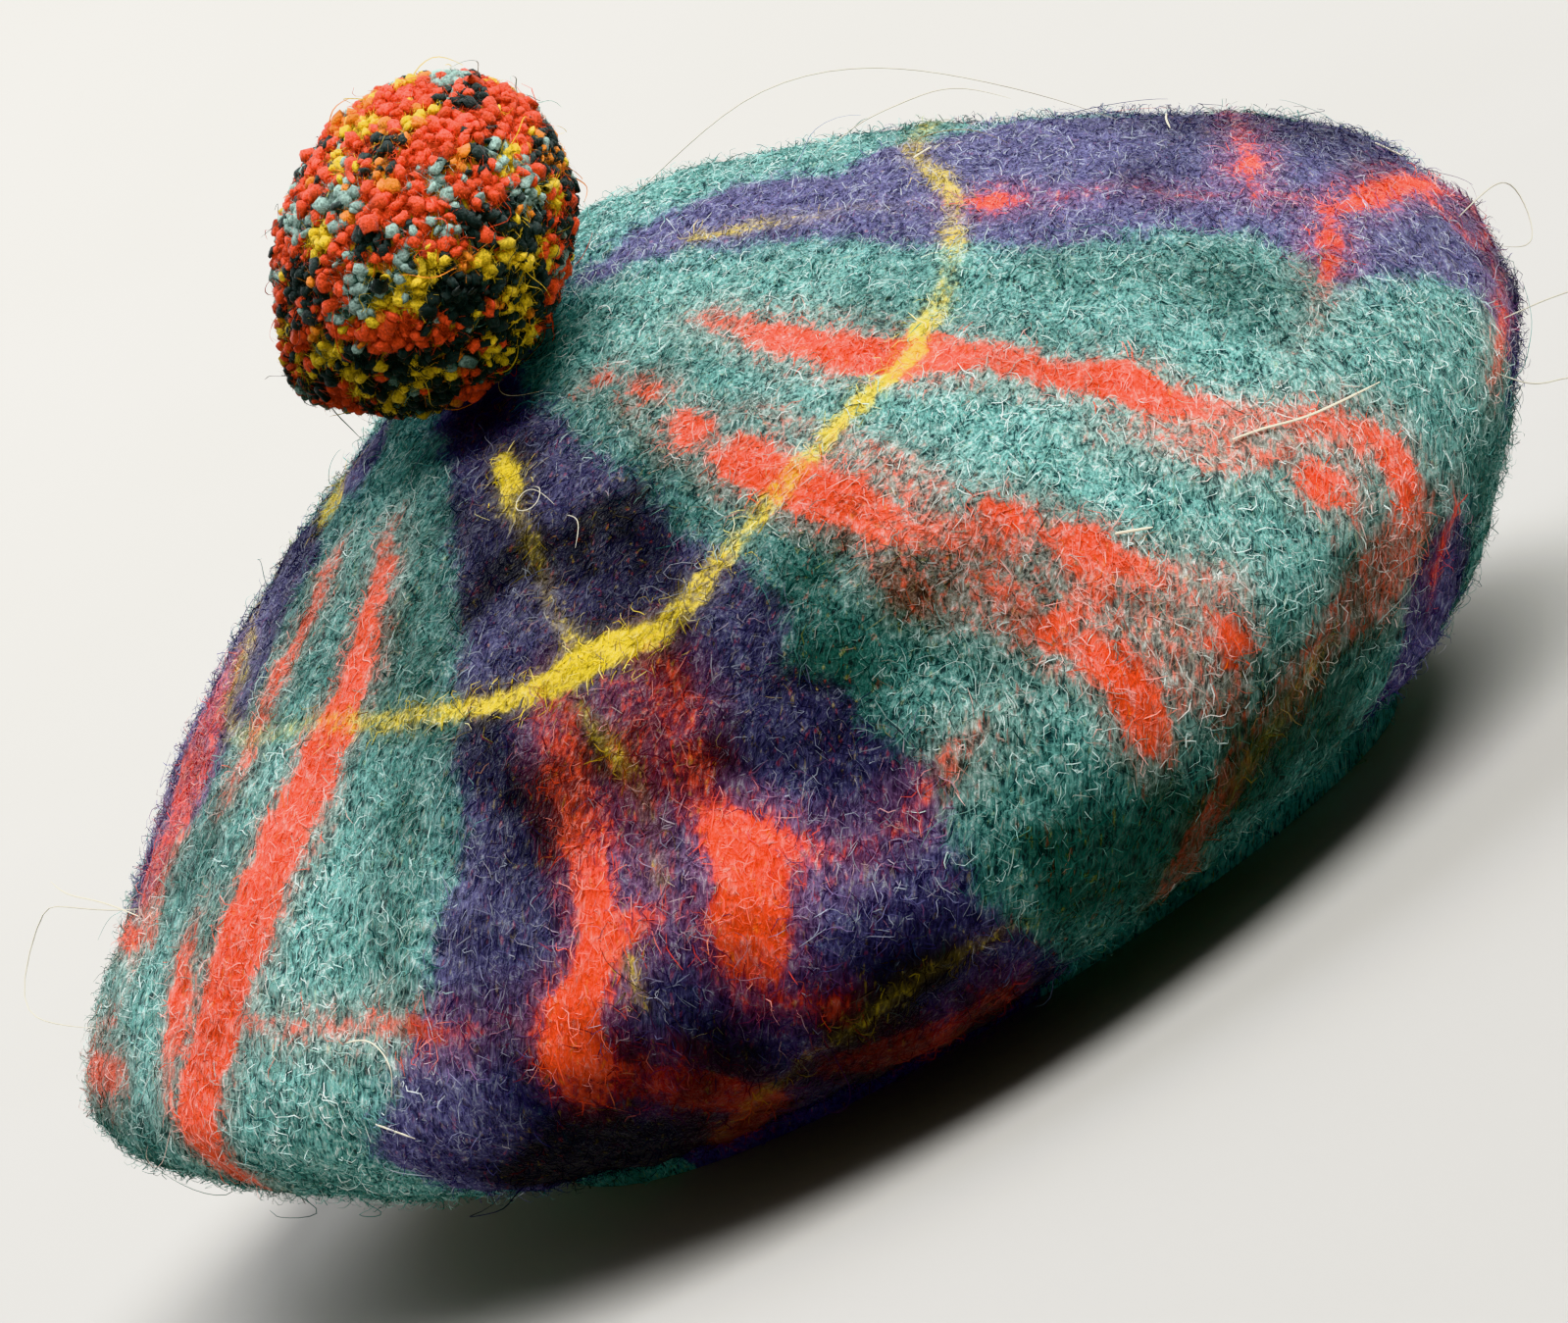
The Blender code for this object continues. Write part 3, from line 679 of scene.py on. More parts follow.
class TartanChart:
    """Where each dye lies on the cloth: how far every place is outside the nearest stripe's edge."""

    FAR = 30.0              # mm, past which an edge no longer matters
    STEP = 5.0              # mm, between the points of a stripe's smoothed route
    REPEATS = (1.0, -1.0)   # the chart as it is, and turned half round
    INSIDE = 1.0            # mm inside a stripe's edge, past which a place isn't further in
    SHARE_WORTH = 3.0       # mm further in that a full share is worth, where two stripes overlap
    SEEN_POWER = 1.35       # turns a share as it looks to one of the fibres: a mix looks stronger
    CLEAR = (0.60, 0.87)    # how clear the ground's dyes and the stripes' read away from every patch of dye and of painted light and shade
    PALEST = 1.4            # the highest that clearness goes

    def __init__(self) -> None:
        """Smooth the routes of the stripes, and turn the whole chart half round for its repeat."""
        self.routes: list[tuple[Dye, np.ndarray]] = []
        for stripe in STRIPES:
            route = self.smoothed(np.array(stripe.route, float))
            for turn in self.REPEATS:
                self.routes.append((stripe.dye, route * (turn, turn, 1.0, 1.0)))
        self.outlines = [np.array(area.corners, float) * turn for area in FIELDS for turn in self.REPEATS]

    def smoothed(self, route: np.ndarray) -> np.ndarray:
        """Smooth a stripe's route.

        Args:
            route: The rows of its table.

        Returns:
            Rows about STEP apart on the smooth curve through them.
        """
        knots = lengths_along(route[:, :2])
        places = np.linspace(0.0, knots[-1], max(2, round(knots[-1] / self.STEP) + 1))
        return smooth_curve(knots, route, places)

    @staticmethod
    def gap_to(spots: np.ndarray, start: np.ndarray, end: np.ndarray) -> Pair:
        """Distance of places to a straight run.

        Args:
            spots: Places, n x 2.
            start: The run's first end.
            end: The run's other end.

        Returns:
            The distance of each place, and how far along the run its nearest point is, 0 to 1.
        """
        run = end - start
        along = np.clip((spots - start) @ run / max(float(run @ run), TINY), 0.0, 1.0)
        return np.linalg.norm(spots - start - along[:, None] * run, axis=1), along

    def stripe_at(self, spots: np.ndarray, route: np.ndarray) -> Pair:
        """Read one stripe.

        Args:
            spots: Places on the cloth, n x 2, in mm.
            route: The stripe's smoothed route.

        Returns:
            How far each place is outside its edge in mm, and its share of the fibres nearest to there.
        """
        edge, share = np.full(len(spots), self.FAR), np.zeros(len(spots))
        for start, end in zip(route, route[1:]):
            gap, along = self.gap_to(spots, start[:2], end[:2])
            width, there = (start[2:] + along[:, None] * (end - start)[2:]).T
            closer = gap - width / 2.0 < edge
            edge = np.where(closer, gap - width / 2.0, edge)
            share = np.where(closer, there, share)
        return edge, share

    def read(self, spots: np.ndarray) -> Pair:
        """Read the chart.

        Args:
            spots: Places on the cloth, n x 2, in mm.

        Returns:
            How far each place is outside the edge of red, yellow and navy in mm, negative inside,
            n x 3, and the share of fibres that the nearest stripe has, n x 3.
        """
        edges, best = (np.full((len(spots), len(Dye)), self.FAR) for _ in range(2))
        shares = np.zeros((len(spots), len(Dye)))
        for dye, route in self.routes:
            low, high = route[:, :2].min(axis=0) - self.FAR, route[:, :2].max(axis=0) + self.FAR
            near = np.flatnonzero(((spots > low) & (spots < high)).all(axis=1))
            if len(near) == 0:
                continue
            edge, share = self.stripe_at(spots[near], route)
            # Where two stripes of a dye overlap, the one with more of its fibres there shows.
            rank = np.maximum(edge, -self.INSIDE) + self.SHARE_WORTH * (1.0 - share)
            wins = rank < best[near, dye.value]
            for table, row in ((best, rank), (edges, edge), (shares, share)):
                table[near[wins], dye.value] = row[wins]
        navy = Dye.NAVY.value
        for outline in self.outlines:
            edges[:, navy] = np.minimum(edges[:, navy], self.outside_of(spots, outline))
        shares[:, navy] = 1.0
        return np.clip(edges, -self.FAR, self.FAR), np.clip(shares, 0.0, 1.0) ** self.SEEN_POWER

    def outside_of(self, spots: np.ndarray, outline: np.ndarray) -> np.ndarray:
        """Read one field.

        Args:
            spots: Places on the cloth, n x 2, in mm.
            outline: The field's corners.

        Returns:
            How far each place is outside the outline in mm, negative inside.
        """
        gap = np.full(len(spots), self.FAR)
        inside = np.zeros(len(spots), bool)
        for start, end in zip(outline, np.roll(outline, -1, axis=0)):
            gap = np.minimum(gap, self.gap_to(spots, start, end)[0])
            crosses = (start[1] > spots[:, 1]) != (end[1] > spots[:, 1])
            rise = end[1] - start[1] if end[1] != start[1] else TINY
            inside ^= crosses & (spots[:, 0] < (end[0] - start[0]) * (spots[:, 1] - start[1]) / rise
                                 + start[0])
        return np.where(inside, -gap, gap)

    def clearness(self, spots: np.ndarray) -> np.ndarray:
        """Read the patches of dye and of painted light and shade.

        Args:
            spots: Places on the cloth, n x 2, in mm.

        Returns:
            How clear the ground's dyes and the stripes' read, n x 2: 0 deep, 1 clear, above that pale.
        """
        clear = np.tile(self.CLEAR, (len(spots), 1))
        for fade in DYE_AND_SHADING:
            for turn in self.REPEATS:
                gap = np.linalg.norm(spots - np.array(fade.place) * turn, axis=1)
                clear += np.outer(np.exp(-(gap / fade.reach) ** 2), (fade.ground, fade.stripes))
        return np.clip(clear, 0.0, self.PALEST)


# ---- finishes ---------------------------------------------------------------------------------------

BRUSH_TILT = math.radians(29.3)     # the nap was brushed up the cap and this far to its front
BRUSH_TURN = (BRUSH_TILT, 0.0, 0.0)
BRUSH_WAY = np.array([0.0, -math.sin(BRUSH_TILT), math.cos(BRUSH_TILT)])
AS_DYED = 0.5                       # the tone of a fibre that shows its dye's own colour


def brushed_noise(add: AddNode, root: bpy.types.NodeSocket, size: tuple[float, float, float],
                  roughness: float) -> bpy.types.Node:
    """Add noise that is drawn out along the way of the brush.

    Args:
        add: Adds a node to the material.
        root: The place on the felt, in mm.
        size: Of the noise, in mm, the last one along the brush.
        roughness: Of the noise.

    Returns:
        The noise.
    """
    along = add("Mapping", {0: root, "Rotation": BRUSH_TURN, "Scale": size}, vector_type="TEXTURE")
    return add("TexNoise", {"Vector": along, "Scale": 1.0, "Detail": 2.0, "Roughness": roughness})


@dataclass(frozen=True)
class DyeLayer:
    """How one dye lies in the felt, over the dyes before it."""

    dye: Dye
    deep: str
    clear: str
    soft: float                     # mm, how soft its stripes' edges are
    stirred: float                  # how far the edges follow the waves and tufts in the wool
    strength: float                 # the most of it that shows
    halo_reach: float               # mm, how far its stray fibres lie from its edge
    halo_share: float               # and the share that they take there
    calm: float                     # how much it evens out the mat's tones
    calm_tone: float                # and to which tone


@dataclass(frozen=True)
class WoolDyes:
    """Wool dyed in the fleece: colours that mix, fibre by fibre, where two stripes are fulled together."""

    # The deep colours are the dyes at their deepest, reached mostly in the patches of painted shade at the
    # cap's foot and hem.
    green_deep: str = "#1F433A"
    green: str = "#71ABA3"
    layers: tuple[DyeLayer, ...] = (
        DyeLayer(Dye.NAVY, "#12121D", "#6C6A94", 3.0, 0.9, 1.0, 7.0, 0.30, 0.25, 0.32),
        DyeLayer(Dye.RED, "#4C1109", "#FA5830", 2.2, 0.65, 1.0, 7.0, 0.38, 0.50, 0.74),
        DyeLayer(Dye.YELLOW, "#8A7A20", "#F7DA3C", 1.3, 0.34, 0.90, 3.5, 0.20, 0.38, 0.62),
    )
    pale: str = "#DCE6E2"           # undyed fibre, which every dye is mixed with
    # Fewer undyed fibres show in the deep patches, largely painted shade, and more in the palest, partly
    # painted light.
    undyed_deep: float = 0.08       # how much of it the palest fibres have in a deep patch
    undyed_pale: float = 1.1        # and in the palest
    undyed_power: float = 1.6       # how late a fibre turns undyed as its tone rises
    shade: tuple[float, float, float, float] = (0.09, 0.09, 0.11, 1.0)  # the light left in deep wool
    cloud: float = 24.0             # mm, patches of deeper and clearer dye
    cloud_depth: float = 0.3
    wander: float = 9.0             # mm, waves of a stripe's edge
    wander_reach: float = 7.0       # mm, from crest to crest of the waves, times the noise's 0 to 1
    ruffle: float = 2.4             # mm, tufts of fibre pulled over an edge
    ruffle_reach: float = 5.0
    lock: tuple[float, float, float] = (1.1, 1.1, 3.4)      # mm, a lock of fibres of one dye
    lock_soft: float = 0.30         # how softly a lock takes a dye
    spread: float = 0.35            # mm, how far the fulling carried a stripe's edge out
    blended: float = 0.5            # how much of a mix is too fine to see its fibres

    def paint(self, add: AddNode, tone: bpy.types.NodeSocket | bpy.types.Node) -> bpy.types.Node:
        """Colour the wool from the chart's attributes.

        Args:
            add: Adds a node to the material.
            tone: How deep or pale the fibre is: 0 deep, AS_DYED as dyed, 1 nearly undyed.

        Returns:
            The node of the finished colour.
        """
        root, *charted = (add("Attribute", attribute_name=name).outputs["Vector"]
                          for name in ("root", "edges", "shares", "look"))
        edge, share, seen = (add("SeparateXYZ", {0: read}).outputs for read in charted)
        shift = self.edge_waves(add, root)
        lock = add("SeparateColor", {0: brushed_noise(add, root, self.lock, roughness=0.6).outputs["Color"]})
        clouds = add("TexNoise", {"Vector": root, "Scale": 1.0 / self.cloud, "Detail": 2.0})
        cloud = add("MapRange", {"Value": clouds, "From Min": 0.35, "From Max": 0.65,
                                 "To Min": -self.cloud_depth, "To Max": self.cloud_depth})
        # Clearness carries the charted patches of dye and of painted light and shade, and random clouds.
        clear, bright = (add("Math", {0: seen[number], 1: cloud}, operation="ADD") for number in (1, 2))
        colour = add("Mix", {0: clear, 1: linear(self.green_deep), 2: linear(self.green)},
                     data_type="RGBA")
        for layer in self.layers:
            number, ground = layer.dye.value, layer.dye is Dye.NAVY
            dense = self.density(add, layer, edge[number], shift.outputs[number], share[number])
            shown = self.shown(add, layer, dense, lock.outputs[number])
            dyed = add("Mix", {0: clear if ground else bright, 1: linear(layer.deep),
                               2: linear(layer.clear)}, data_type="RGBA")
            colour = add("Mix", {0: shown, 1: colour, 2: dyed}, data_type="RGBA")
            calmed = add("Math", {0: shown, 1: layer.calm}, operation="MULTIPLY")
            tone = add("Mix", {0: calmed, 1: tone, 2: layer.calm_tone}, data_type="FLOAT")
            if not ground:
                clear = add("Mix", {0: shown, 1: clear, 2: bright}, data_type="FLOAT")
        return self.toned(add, colour, tone, clear)

    def edge_waves(self, add: AddNode, root: bpy.types.NodeSocket) -> bpy.types.Node:
        """Add the waves and tufts of the stripes' edges.

        Args:
            add: Adds a node to the material.
            root: The place on the felt, in mm.

        Returns:
            The node of how far each dye's edges are moved there, in mm.
        """
        moved = []
        for size, reach in ((self.wander, self.wander_reach), (self.ruffle, self.ruffle_reach)):
            noise = add("TexNoise", {"Vector": root, "Scale": 1.0 / size, "Detail": 1.0})
            centred = add("VectorMath", {0: noise.outputs["Color"], 1: (0.5, 0.5, 0.5)},
                          operation="SUBTRACT")
            moved.append(add("VectorMath", {0: centred, "Scale": reach}, operation="SCALE"))
        return add("SeparateXYZ", {0: add("VectorMath", dict(enumerate(moved)), operation="ADD")})

    def density(self, add: AddNode, layer: DyeLayer, edge: bpy.types.NodeSocket,
                shift: bpy.types.NodeSocket, share: bpy.types.NodeSocket) -> bpy.types.Node:
        """Work out which share of the fibres at a place are of a dye.

        Args:
            add: Adds a node to the material.
            layer: The dye's layer.
            edge: How far the place is outside the charted edge, in mm.
            shift: How far the edge is moved there.
            share: The charted share of fibres.

        Returns:
            The node of the share.
        """
        stir = add("Math", {0: shift, 1: layer.stirred, 2: edge}, operation="MULTIPLY_ADD")
        body = add("MapRange", {"Value": stir, "From Min": self.spread + layer.soft,
                                "From Max": self.spread - layer.soft}, interpolation_type="SMOOTHSTEP")
        halo = add("MapRange", {"Value": stir, "From Min": layer.halo_reach, "From Max": 0.0,
                                "To Max": layer.halo_share})
        cover = add("Math", {0: body, 1: halo}, operation="MAXIMUM")
        return add("Math", {0: cover, 1: share}, operation="MULTIPLY")

    def shown(self, add: AddNode, layer: DyeLayer, dense: bpy.types.Node,
              lock: bpy.types.NodeSocket) -> bpy.types.Node:
        """Work out how much of a dye is seen: whole locks of fibres, and a mix too fine to see apart.

        Args:
            add: Adds a node to the material.
            layer: The dye's layer.
            dense: The share of its fibres there.
            lock: Noise with one value for each lock of fibres.

        Returns:
            The node of how much shows.
        """
        # A lock of fibres takes the dye where the stripe's density beats the lock's own level.
        level = add("MapRange", {"Value": lock, "From Min": 0.3, "From Max": 0.7,
                                 "To Min": 0.1, "To Max": 0.9})
        over = add("Math", {0: dense, 1: level}, operation="SUBTRACT")
        taken = add("MapRange", {"Value": over, "From Min": -self.lock_soft,
                                 "From Max": self.lock_soft}, interpolation_type="SMOOTHSTEP")
        mixed = add("Mix", {0: self.blended, 1: taken, 2: dense}, data_type="FLOAT")
        return add("Math", {0: mixed, 1: layer.strength}, operation="MULTIPLY")

    def toned(self, add: AddNode, colour: bpy.types.Node, tone: bpy.types.Node,
              clear: bpy.types.Node) -> bpy.types.Node:
        """Deepen or pale a colour. On the felt the deepening is painted shade in the mat's hollows, and
        paling mixes in undyed fibre.

        Args:
            add: Adds a node to the material.
            colour: The colour as dyed.
            tone: 0 deep, AS_DYED as dyed, 1 nearly undyed.
            clear: How clear the dye reads here, with the painted light and shade of the patches; there is
                less undyed fibre in the deep patches.

        Returns:
            The node of the toned colour.
        """
        deep = add("Mix", {0: 1.0, 1: colour, 2: self.shade}, data_type="RGBA", blend_type="MULTIPLY")
        undyed = add("MapRange", {"Value": clear, "From Max": TartanChart.PALEST,
                                  "To Min": self.undyed_deep, "To Max": self.undyed_pale})
        pale = add("Mix", {0: undyed, 1: colour, 2: linear(self.pale)}, data_type="RGBA")
        rise = add("MapRange", {"Value": tone, "From Min": 0.0, "From Max": AS_DYED})
        above = add("MapRange", {"Value": tone, "From Min": AS_DYED, "From Max": 1.0})
        fade = add("Math", {0: above, 1: self.undyed_power}, operation="POWER")
        body = add("Mix", {0: rise, 1: deep, 2: colour}, data_type="RGBA")
        return add("Mix", {0: fade, 1: body, 2: pale}, data_type="RGBA")


@dataclass(frozen=True)
class FulledWool:
    """Fulled and brushed wool felt: matt, with a mat of combed and curled fibres, and painted shade in the
    hollows between them.
    """

    name: str = "fulled_wool_felt"
    dyes: WoolDyes = WoolDyes()
    strand: tuple[float, float, float] = (0.55, 0.55, 2.6)      # mm, combed fibres, drawn a little coarse
    strand_height: float = 0.75     # how much the strands, the hollows and the curls each give the mat
    hollow: float = 2.2             # mm, between one hollow of the mat and the next
    hollow_height: float = 0.55
    curls: tuple[tuple[float, float], ...] = ((3.2, 0.0), (3.2 * 0.55, 40.0))   # mm, size and shift
    curl_height: float = 0.30
    thread: float = 0.020           # how thick a curled fibre is drawn, as a share of the noise
    relief: float = 0.8 * MM

    def mat(self, add: AddNode, root: bpy.types.NodeSocket) -> bpy.types.Node:
        """Add the mat of fibres.

        Args:
            add: Adds a node to the material.
            root: The place on the felt, in mm.

        Returns:
            The node of the mat's height, from 0 in a hollow to about 1.5.
        """
        height = add("MapRange", {"Value": brushed_noise(add, root, self.strand, roughness=0.65),
                                  "From Min": 0.34, "From Max": 0.68, "To Max": self.strand_height})
        hollows = add("TexNoise", {"Vector": root, "Scale": 1.0 / self.hollow, "Detail": 2.0,
                                   "Roughness": 0.6})
        swell = add("MapRange", {"Value": hollows, "From Min": 0.34, "From Max": 0.66,
                                 "To Max": self.hollow_height})
        height = add("Math", {0: height, 1: swell}, operation="ADD")
        # A curled fibre is drawn where the noise crosses its middle value.
        for size, shift in self.curls:
            place = add("VectorMath", {0: root, 1: (shift, shift, shift)}, operation="ADD")
            noise = add("TexNoise", {"Vector": place, "Scale": 1.0 / size, "Detail": 1.0,
                                     "Distortion": 0.6})
            off = add("Math", {0: noise, 1: 0.5}, operation="SUBTRACT")
            gap = add("Math", {0: off}, operation="ABSOLUTE")
            line = add("MapRange", {"Value": gap, "From Min": self.thread, "From Max": 0.0,
                                    "To Max": self.curl_height})
            height = add("Math", {0: height, 1: line}, operation="ADD")
        return height

    def build(self) -> bpy.types.Material:
        """Make the felt's material.

        Returns:
            The material.
        """
        material, shader, add = new_material(self.name)
        height = self.mat(add, add("Attribute", attribute_name="root").outputs["Vector"])
        # The mat's height sets the tone: painted shade deepens the hollows, and the raised fibres read
        # paler.
        tone = add("MapRange", {"Value": height, "From Min": 0.22, "From Max": 1.3, "To Min": 0.0,
                                "To Max": 0.95})
        set_inputs(shader, {
            "Base Color": self.dyes.paint(add, tone),
            "Normal": add("Bump", {"Height": height, "Distance": self.relief, "Strength": 0.6}),
            "Roughness": 0.95,          # wool scatters light all ways
            "Specular IOR Level": 0.06,
            "Sheen Weight": 0.12,       # stray fibre ends that catch the light
            "Sheen Roughness": 0.6,
        })
        return material


@dataclass(frozen=True)
class LooseWool:
    """Single wool fibres brushed up from the felt: matt, deeper or paler from one to the next."""

    name: str = "loose_wool_fibre"
    dyes: WoolDyes = WoolDyes()

    def build(self) -> bpy.types.Material:
        """Make the fibres' material.

        Returns:
            The material.
        """
        material, shader, add = new_material(self.name)
        look = add("Attribute", attribute_name="look").outputs["Vector"]
        tone = add("SeparateXYZ", {0: look})
        set_inputs(shader, {"Base Color": self.dyes.paint(add, tone), "Roughness": 0.8,
                            "Specular IOR Level": 0.08})
        return material


@dataclass(frozen=True)
class Kemp:
    """Kemp: coarse undyed hairs of the fleece, creamy and a little glossy, which take no dye."""

    name: str = "undyed_kemp_hair"
    cream: str = "#E6DFC8"
    grey: str = "#A9A79A"

    def build(self) -> bpy.types.Material:
        """Make the hairs' material.

        Returns:
            The material.
        """
        material, shader, add = new_material(self.name)
        look = add("Attribute", attribute_name="look").outputs["Vector"]
        age = add("SeparateXYZ", {0: look})
        mixed = add("Mix", {0: age, 1: linear(self.grey), 2: linear(self.cream)}, data_type="RGBA")
        set_inputs(shader, {"Base Color": mixed, "Roughness": 0.45})
        return material


class Ply(Enum):
    """The dyes of the pompom's yarn, as the middle of each one's place in the "ply" attribute."""

    RED = 0.1
    ORANGE = 0.3
    YELLOW = 0.5
    TEAL = 0.7
    DARK = 0.9


@dataclass(frozen=True)
class CutYarn:
    """Ends of soft spun wool, cut flush: matt, with the plies' fibres splayed at the cut."""

    name: str = "cut_spun_wool"
    colours: tuple[tuple[Ply, str], ...] = (
        (Ply.RED, "#FA6646"), (Ply.ORANGE, "#FC9C48"), (Ply.YELLOW, "#FFDC50"), (Ply.TEAL, "#9EBAB0"),
        (Ply.DARK, "#3E4846"))
    half_place: float = 0.1         # half of each dye's place in the "ply" attribute
    fibre: float = 0.45             # mm, the fibre ends, drawn coarse enough to show
    grain_low: float = 0.5          # the light between the fibre ends
    grain_high: float = 1.2         # and on them
    relief: float = 0.35 * MM

    def build(self) -> bpy.types.Material:
        """Make the yarn's material.

        Returns:
            The material.
        """
        material, shader, add = new_material(self.name)
        ply, root = (add("Attribute", attribute_name=name).outputs["Vector"] for name in ("ply", "root"))
        dye, light, _ = add("SeparateXYZ", {0: ply}).outputs
        ramp = add("ValToRGB", {0: dye})
        ramp.color_ramp.interpolation = "CONSTANT"
        stops = ramp.color_ramp.elements
        for number, (place, code) in enumerate(self.colours):
            stop = stops[0] if number == 0 else stops.new(place.value - self.half_place)
            stop.color = linear(code)
        stops.remove(stops[len(stops) - 1])
        noise = add("TexNoise", {"Vector": root, "Scale": 1.0 / self.fibre, "Detail": 2.0,
                                 "Roughness": 0.7})
        grain = add("MapRange", {"Value": noise, "From Min": 0.32, "From Max": 0.68,
                                 "To Min": self.grain_low, "To Max": self.grain_high})
        # The ply light is painted shade: deeper on each tuft's lowest ring, on the heart between the tufts
        # and low on the pompom, over a random tone from tuft to tuft.
        shade = add("Math", {0: grain, 1: light}, operation="MULTIPLY")
        set_inputs(shader, {
            "Base Color": add("VectorMath", {0: ramp, "Scale": shade}, operation="SCALE"),
            "Normal": add("Bump", {"Height": noise, "Distance": self.relief, "Strength": 0.9}),
            "Roughness": 0.9,           # no gloss on a cut end
            "Specular IOR Level": 0.2,
            "Sheen Weight": 0.15,       # the splayed fibres' pale edge
            "Sheen Roughness": 0.5,
        })
        return material


@dataclass(frozen=True)
class SewingYarn:
    """Plied navy wool yarn: matt strands, with painted shade darker in the grooves between the fibres."""

    name: str = "plied_wool_yarn"
    navy: str = "#2C2C45"
    ridge_colour: str = "#4A4A6C"
    fibre: float = 0.5              # mm
    relief: float = 0.2 * MM

    def build(self) -> bpy.types.Material:
        """Make the yarn's material.

        Returns:
            The material.
        """
        material, shader, add = new_material(self.name)
        root = add("Attribute", attribute_name="root").outputs["Vector"]
        noise = add("TexNoise", {"Vector": root, "Scale": 1.0 / self.fibre, "Detail": 2.0})
        # Painted shade: darker in the grooves and lighter on the ridges, following the bump's noise.
        mixed = add("Mix", {0: noise, 1: linear(self.navy), 2: linear(self.ridge_colour)}, data_type="RGBA")
        bump = add("Bump", {"Height": noise, "Distance": self.relief})
        set_inputs(shader, {"Base Color": mixed, "Normal": bump, "Roughness": 0.9})
        return material


# ---- loose fibres -----------------------------------------------------------------------------------

@dataclass(frozen=True)
class FibreKind:
    """How one kind of loose fibre grows. Lengths in mm, angles in degrees."""

    name: str
    count: int
    segments: int
    length: tuple[float, float]
    width: float
    lift: tuple[float, float]       # how high its middle stands
    curl: tuple[float, float]       # how far it sways from side to side
    turn: float                     # how far it bends round in all
    twist: float                    # how far its flat side turns from the felt
    tone: tuple[float, float]       # mean and spread: 0 deep, AS_DYED as dyed, 1 nearly undyed
    combed: float = 0.6             # the share of the fibres that lie the way of the brush

    @property
    def corners(self) -> int:
        """How many corners the ribbon of one fibre has."""
        return 2 * (self.segments + 1)


def for_corners(marks: dict[str, np.ndarray], each: int) -> dict[str, np.ndarray]:
    """Give the marks of each fibre to all of its corners."""
    return {name: np.repeat(values, each, axis=0) for name, values in marks.items()}


def tubes(paths: np.ndarray, radii: np.ndarray, across: np.ndarray, sides: int) -> Pair:
    """Round threads along paths.

    Args:
        paths: Points along each thread, n x s x 3.
        radii: The thread's radius at each point, n x s.
        across: Unit vectors across the paths.
        sides: Of a thread's section.

    Returns:
        Corners and quads.
    """
    count, points = paths.shape[:2]
    beside = unit(np.cross(unit(np.gradient(paths, axis=1)), across))
    turn = round_angles(sides)
    ring = np.cos(turn)[:, None] * across[:, :, None] + np.sin(turn)[:, None] * beside[:, :, None]
    corners = paths[:, :, None] + ring * radii[:, :, None, None]
    starts = (np.arange(count)[:, None] * points + np.arange(points - 1)) * sides
    return corners.reshape(-1, 3), band_quads(starts, sides)


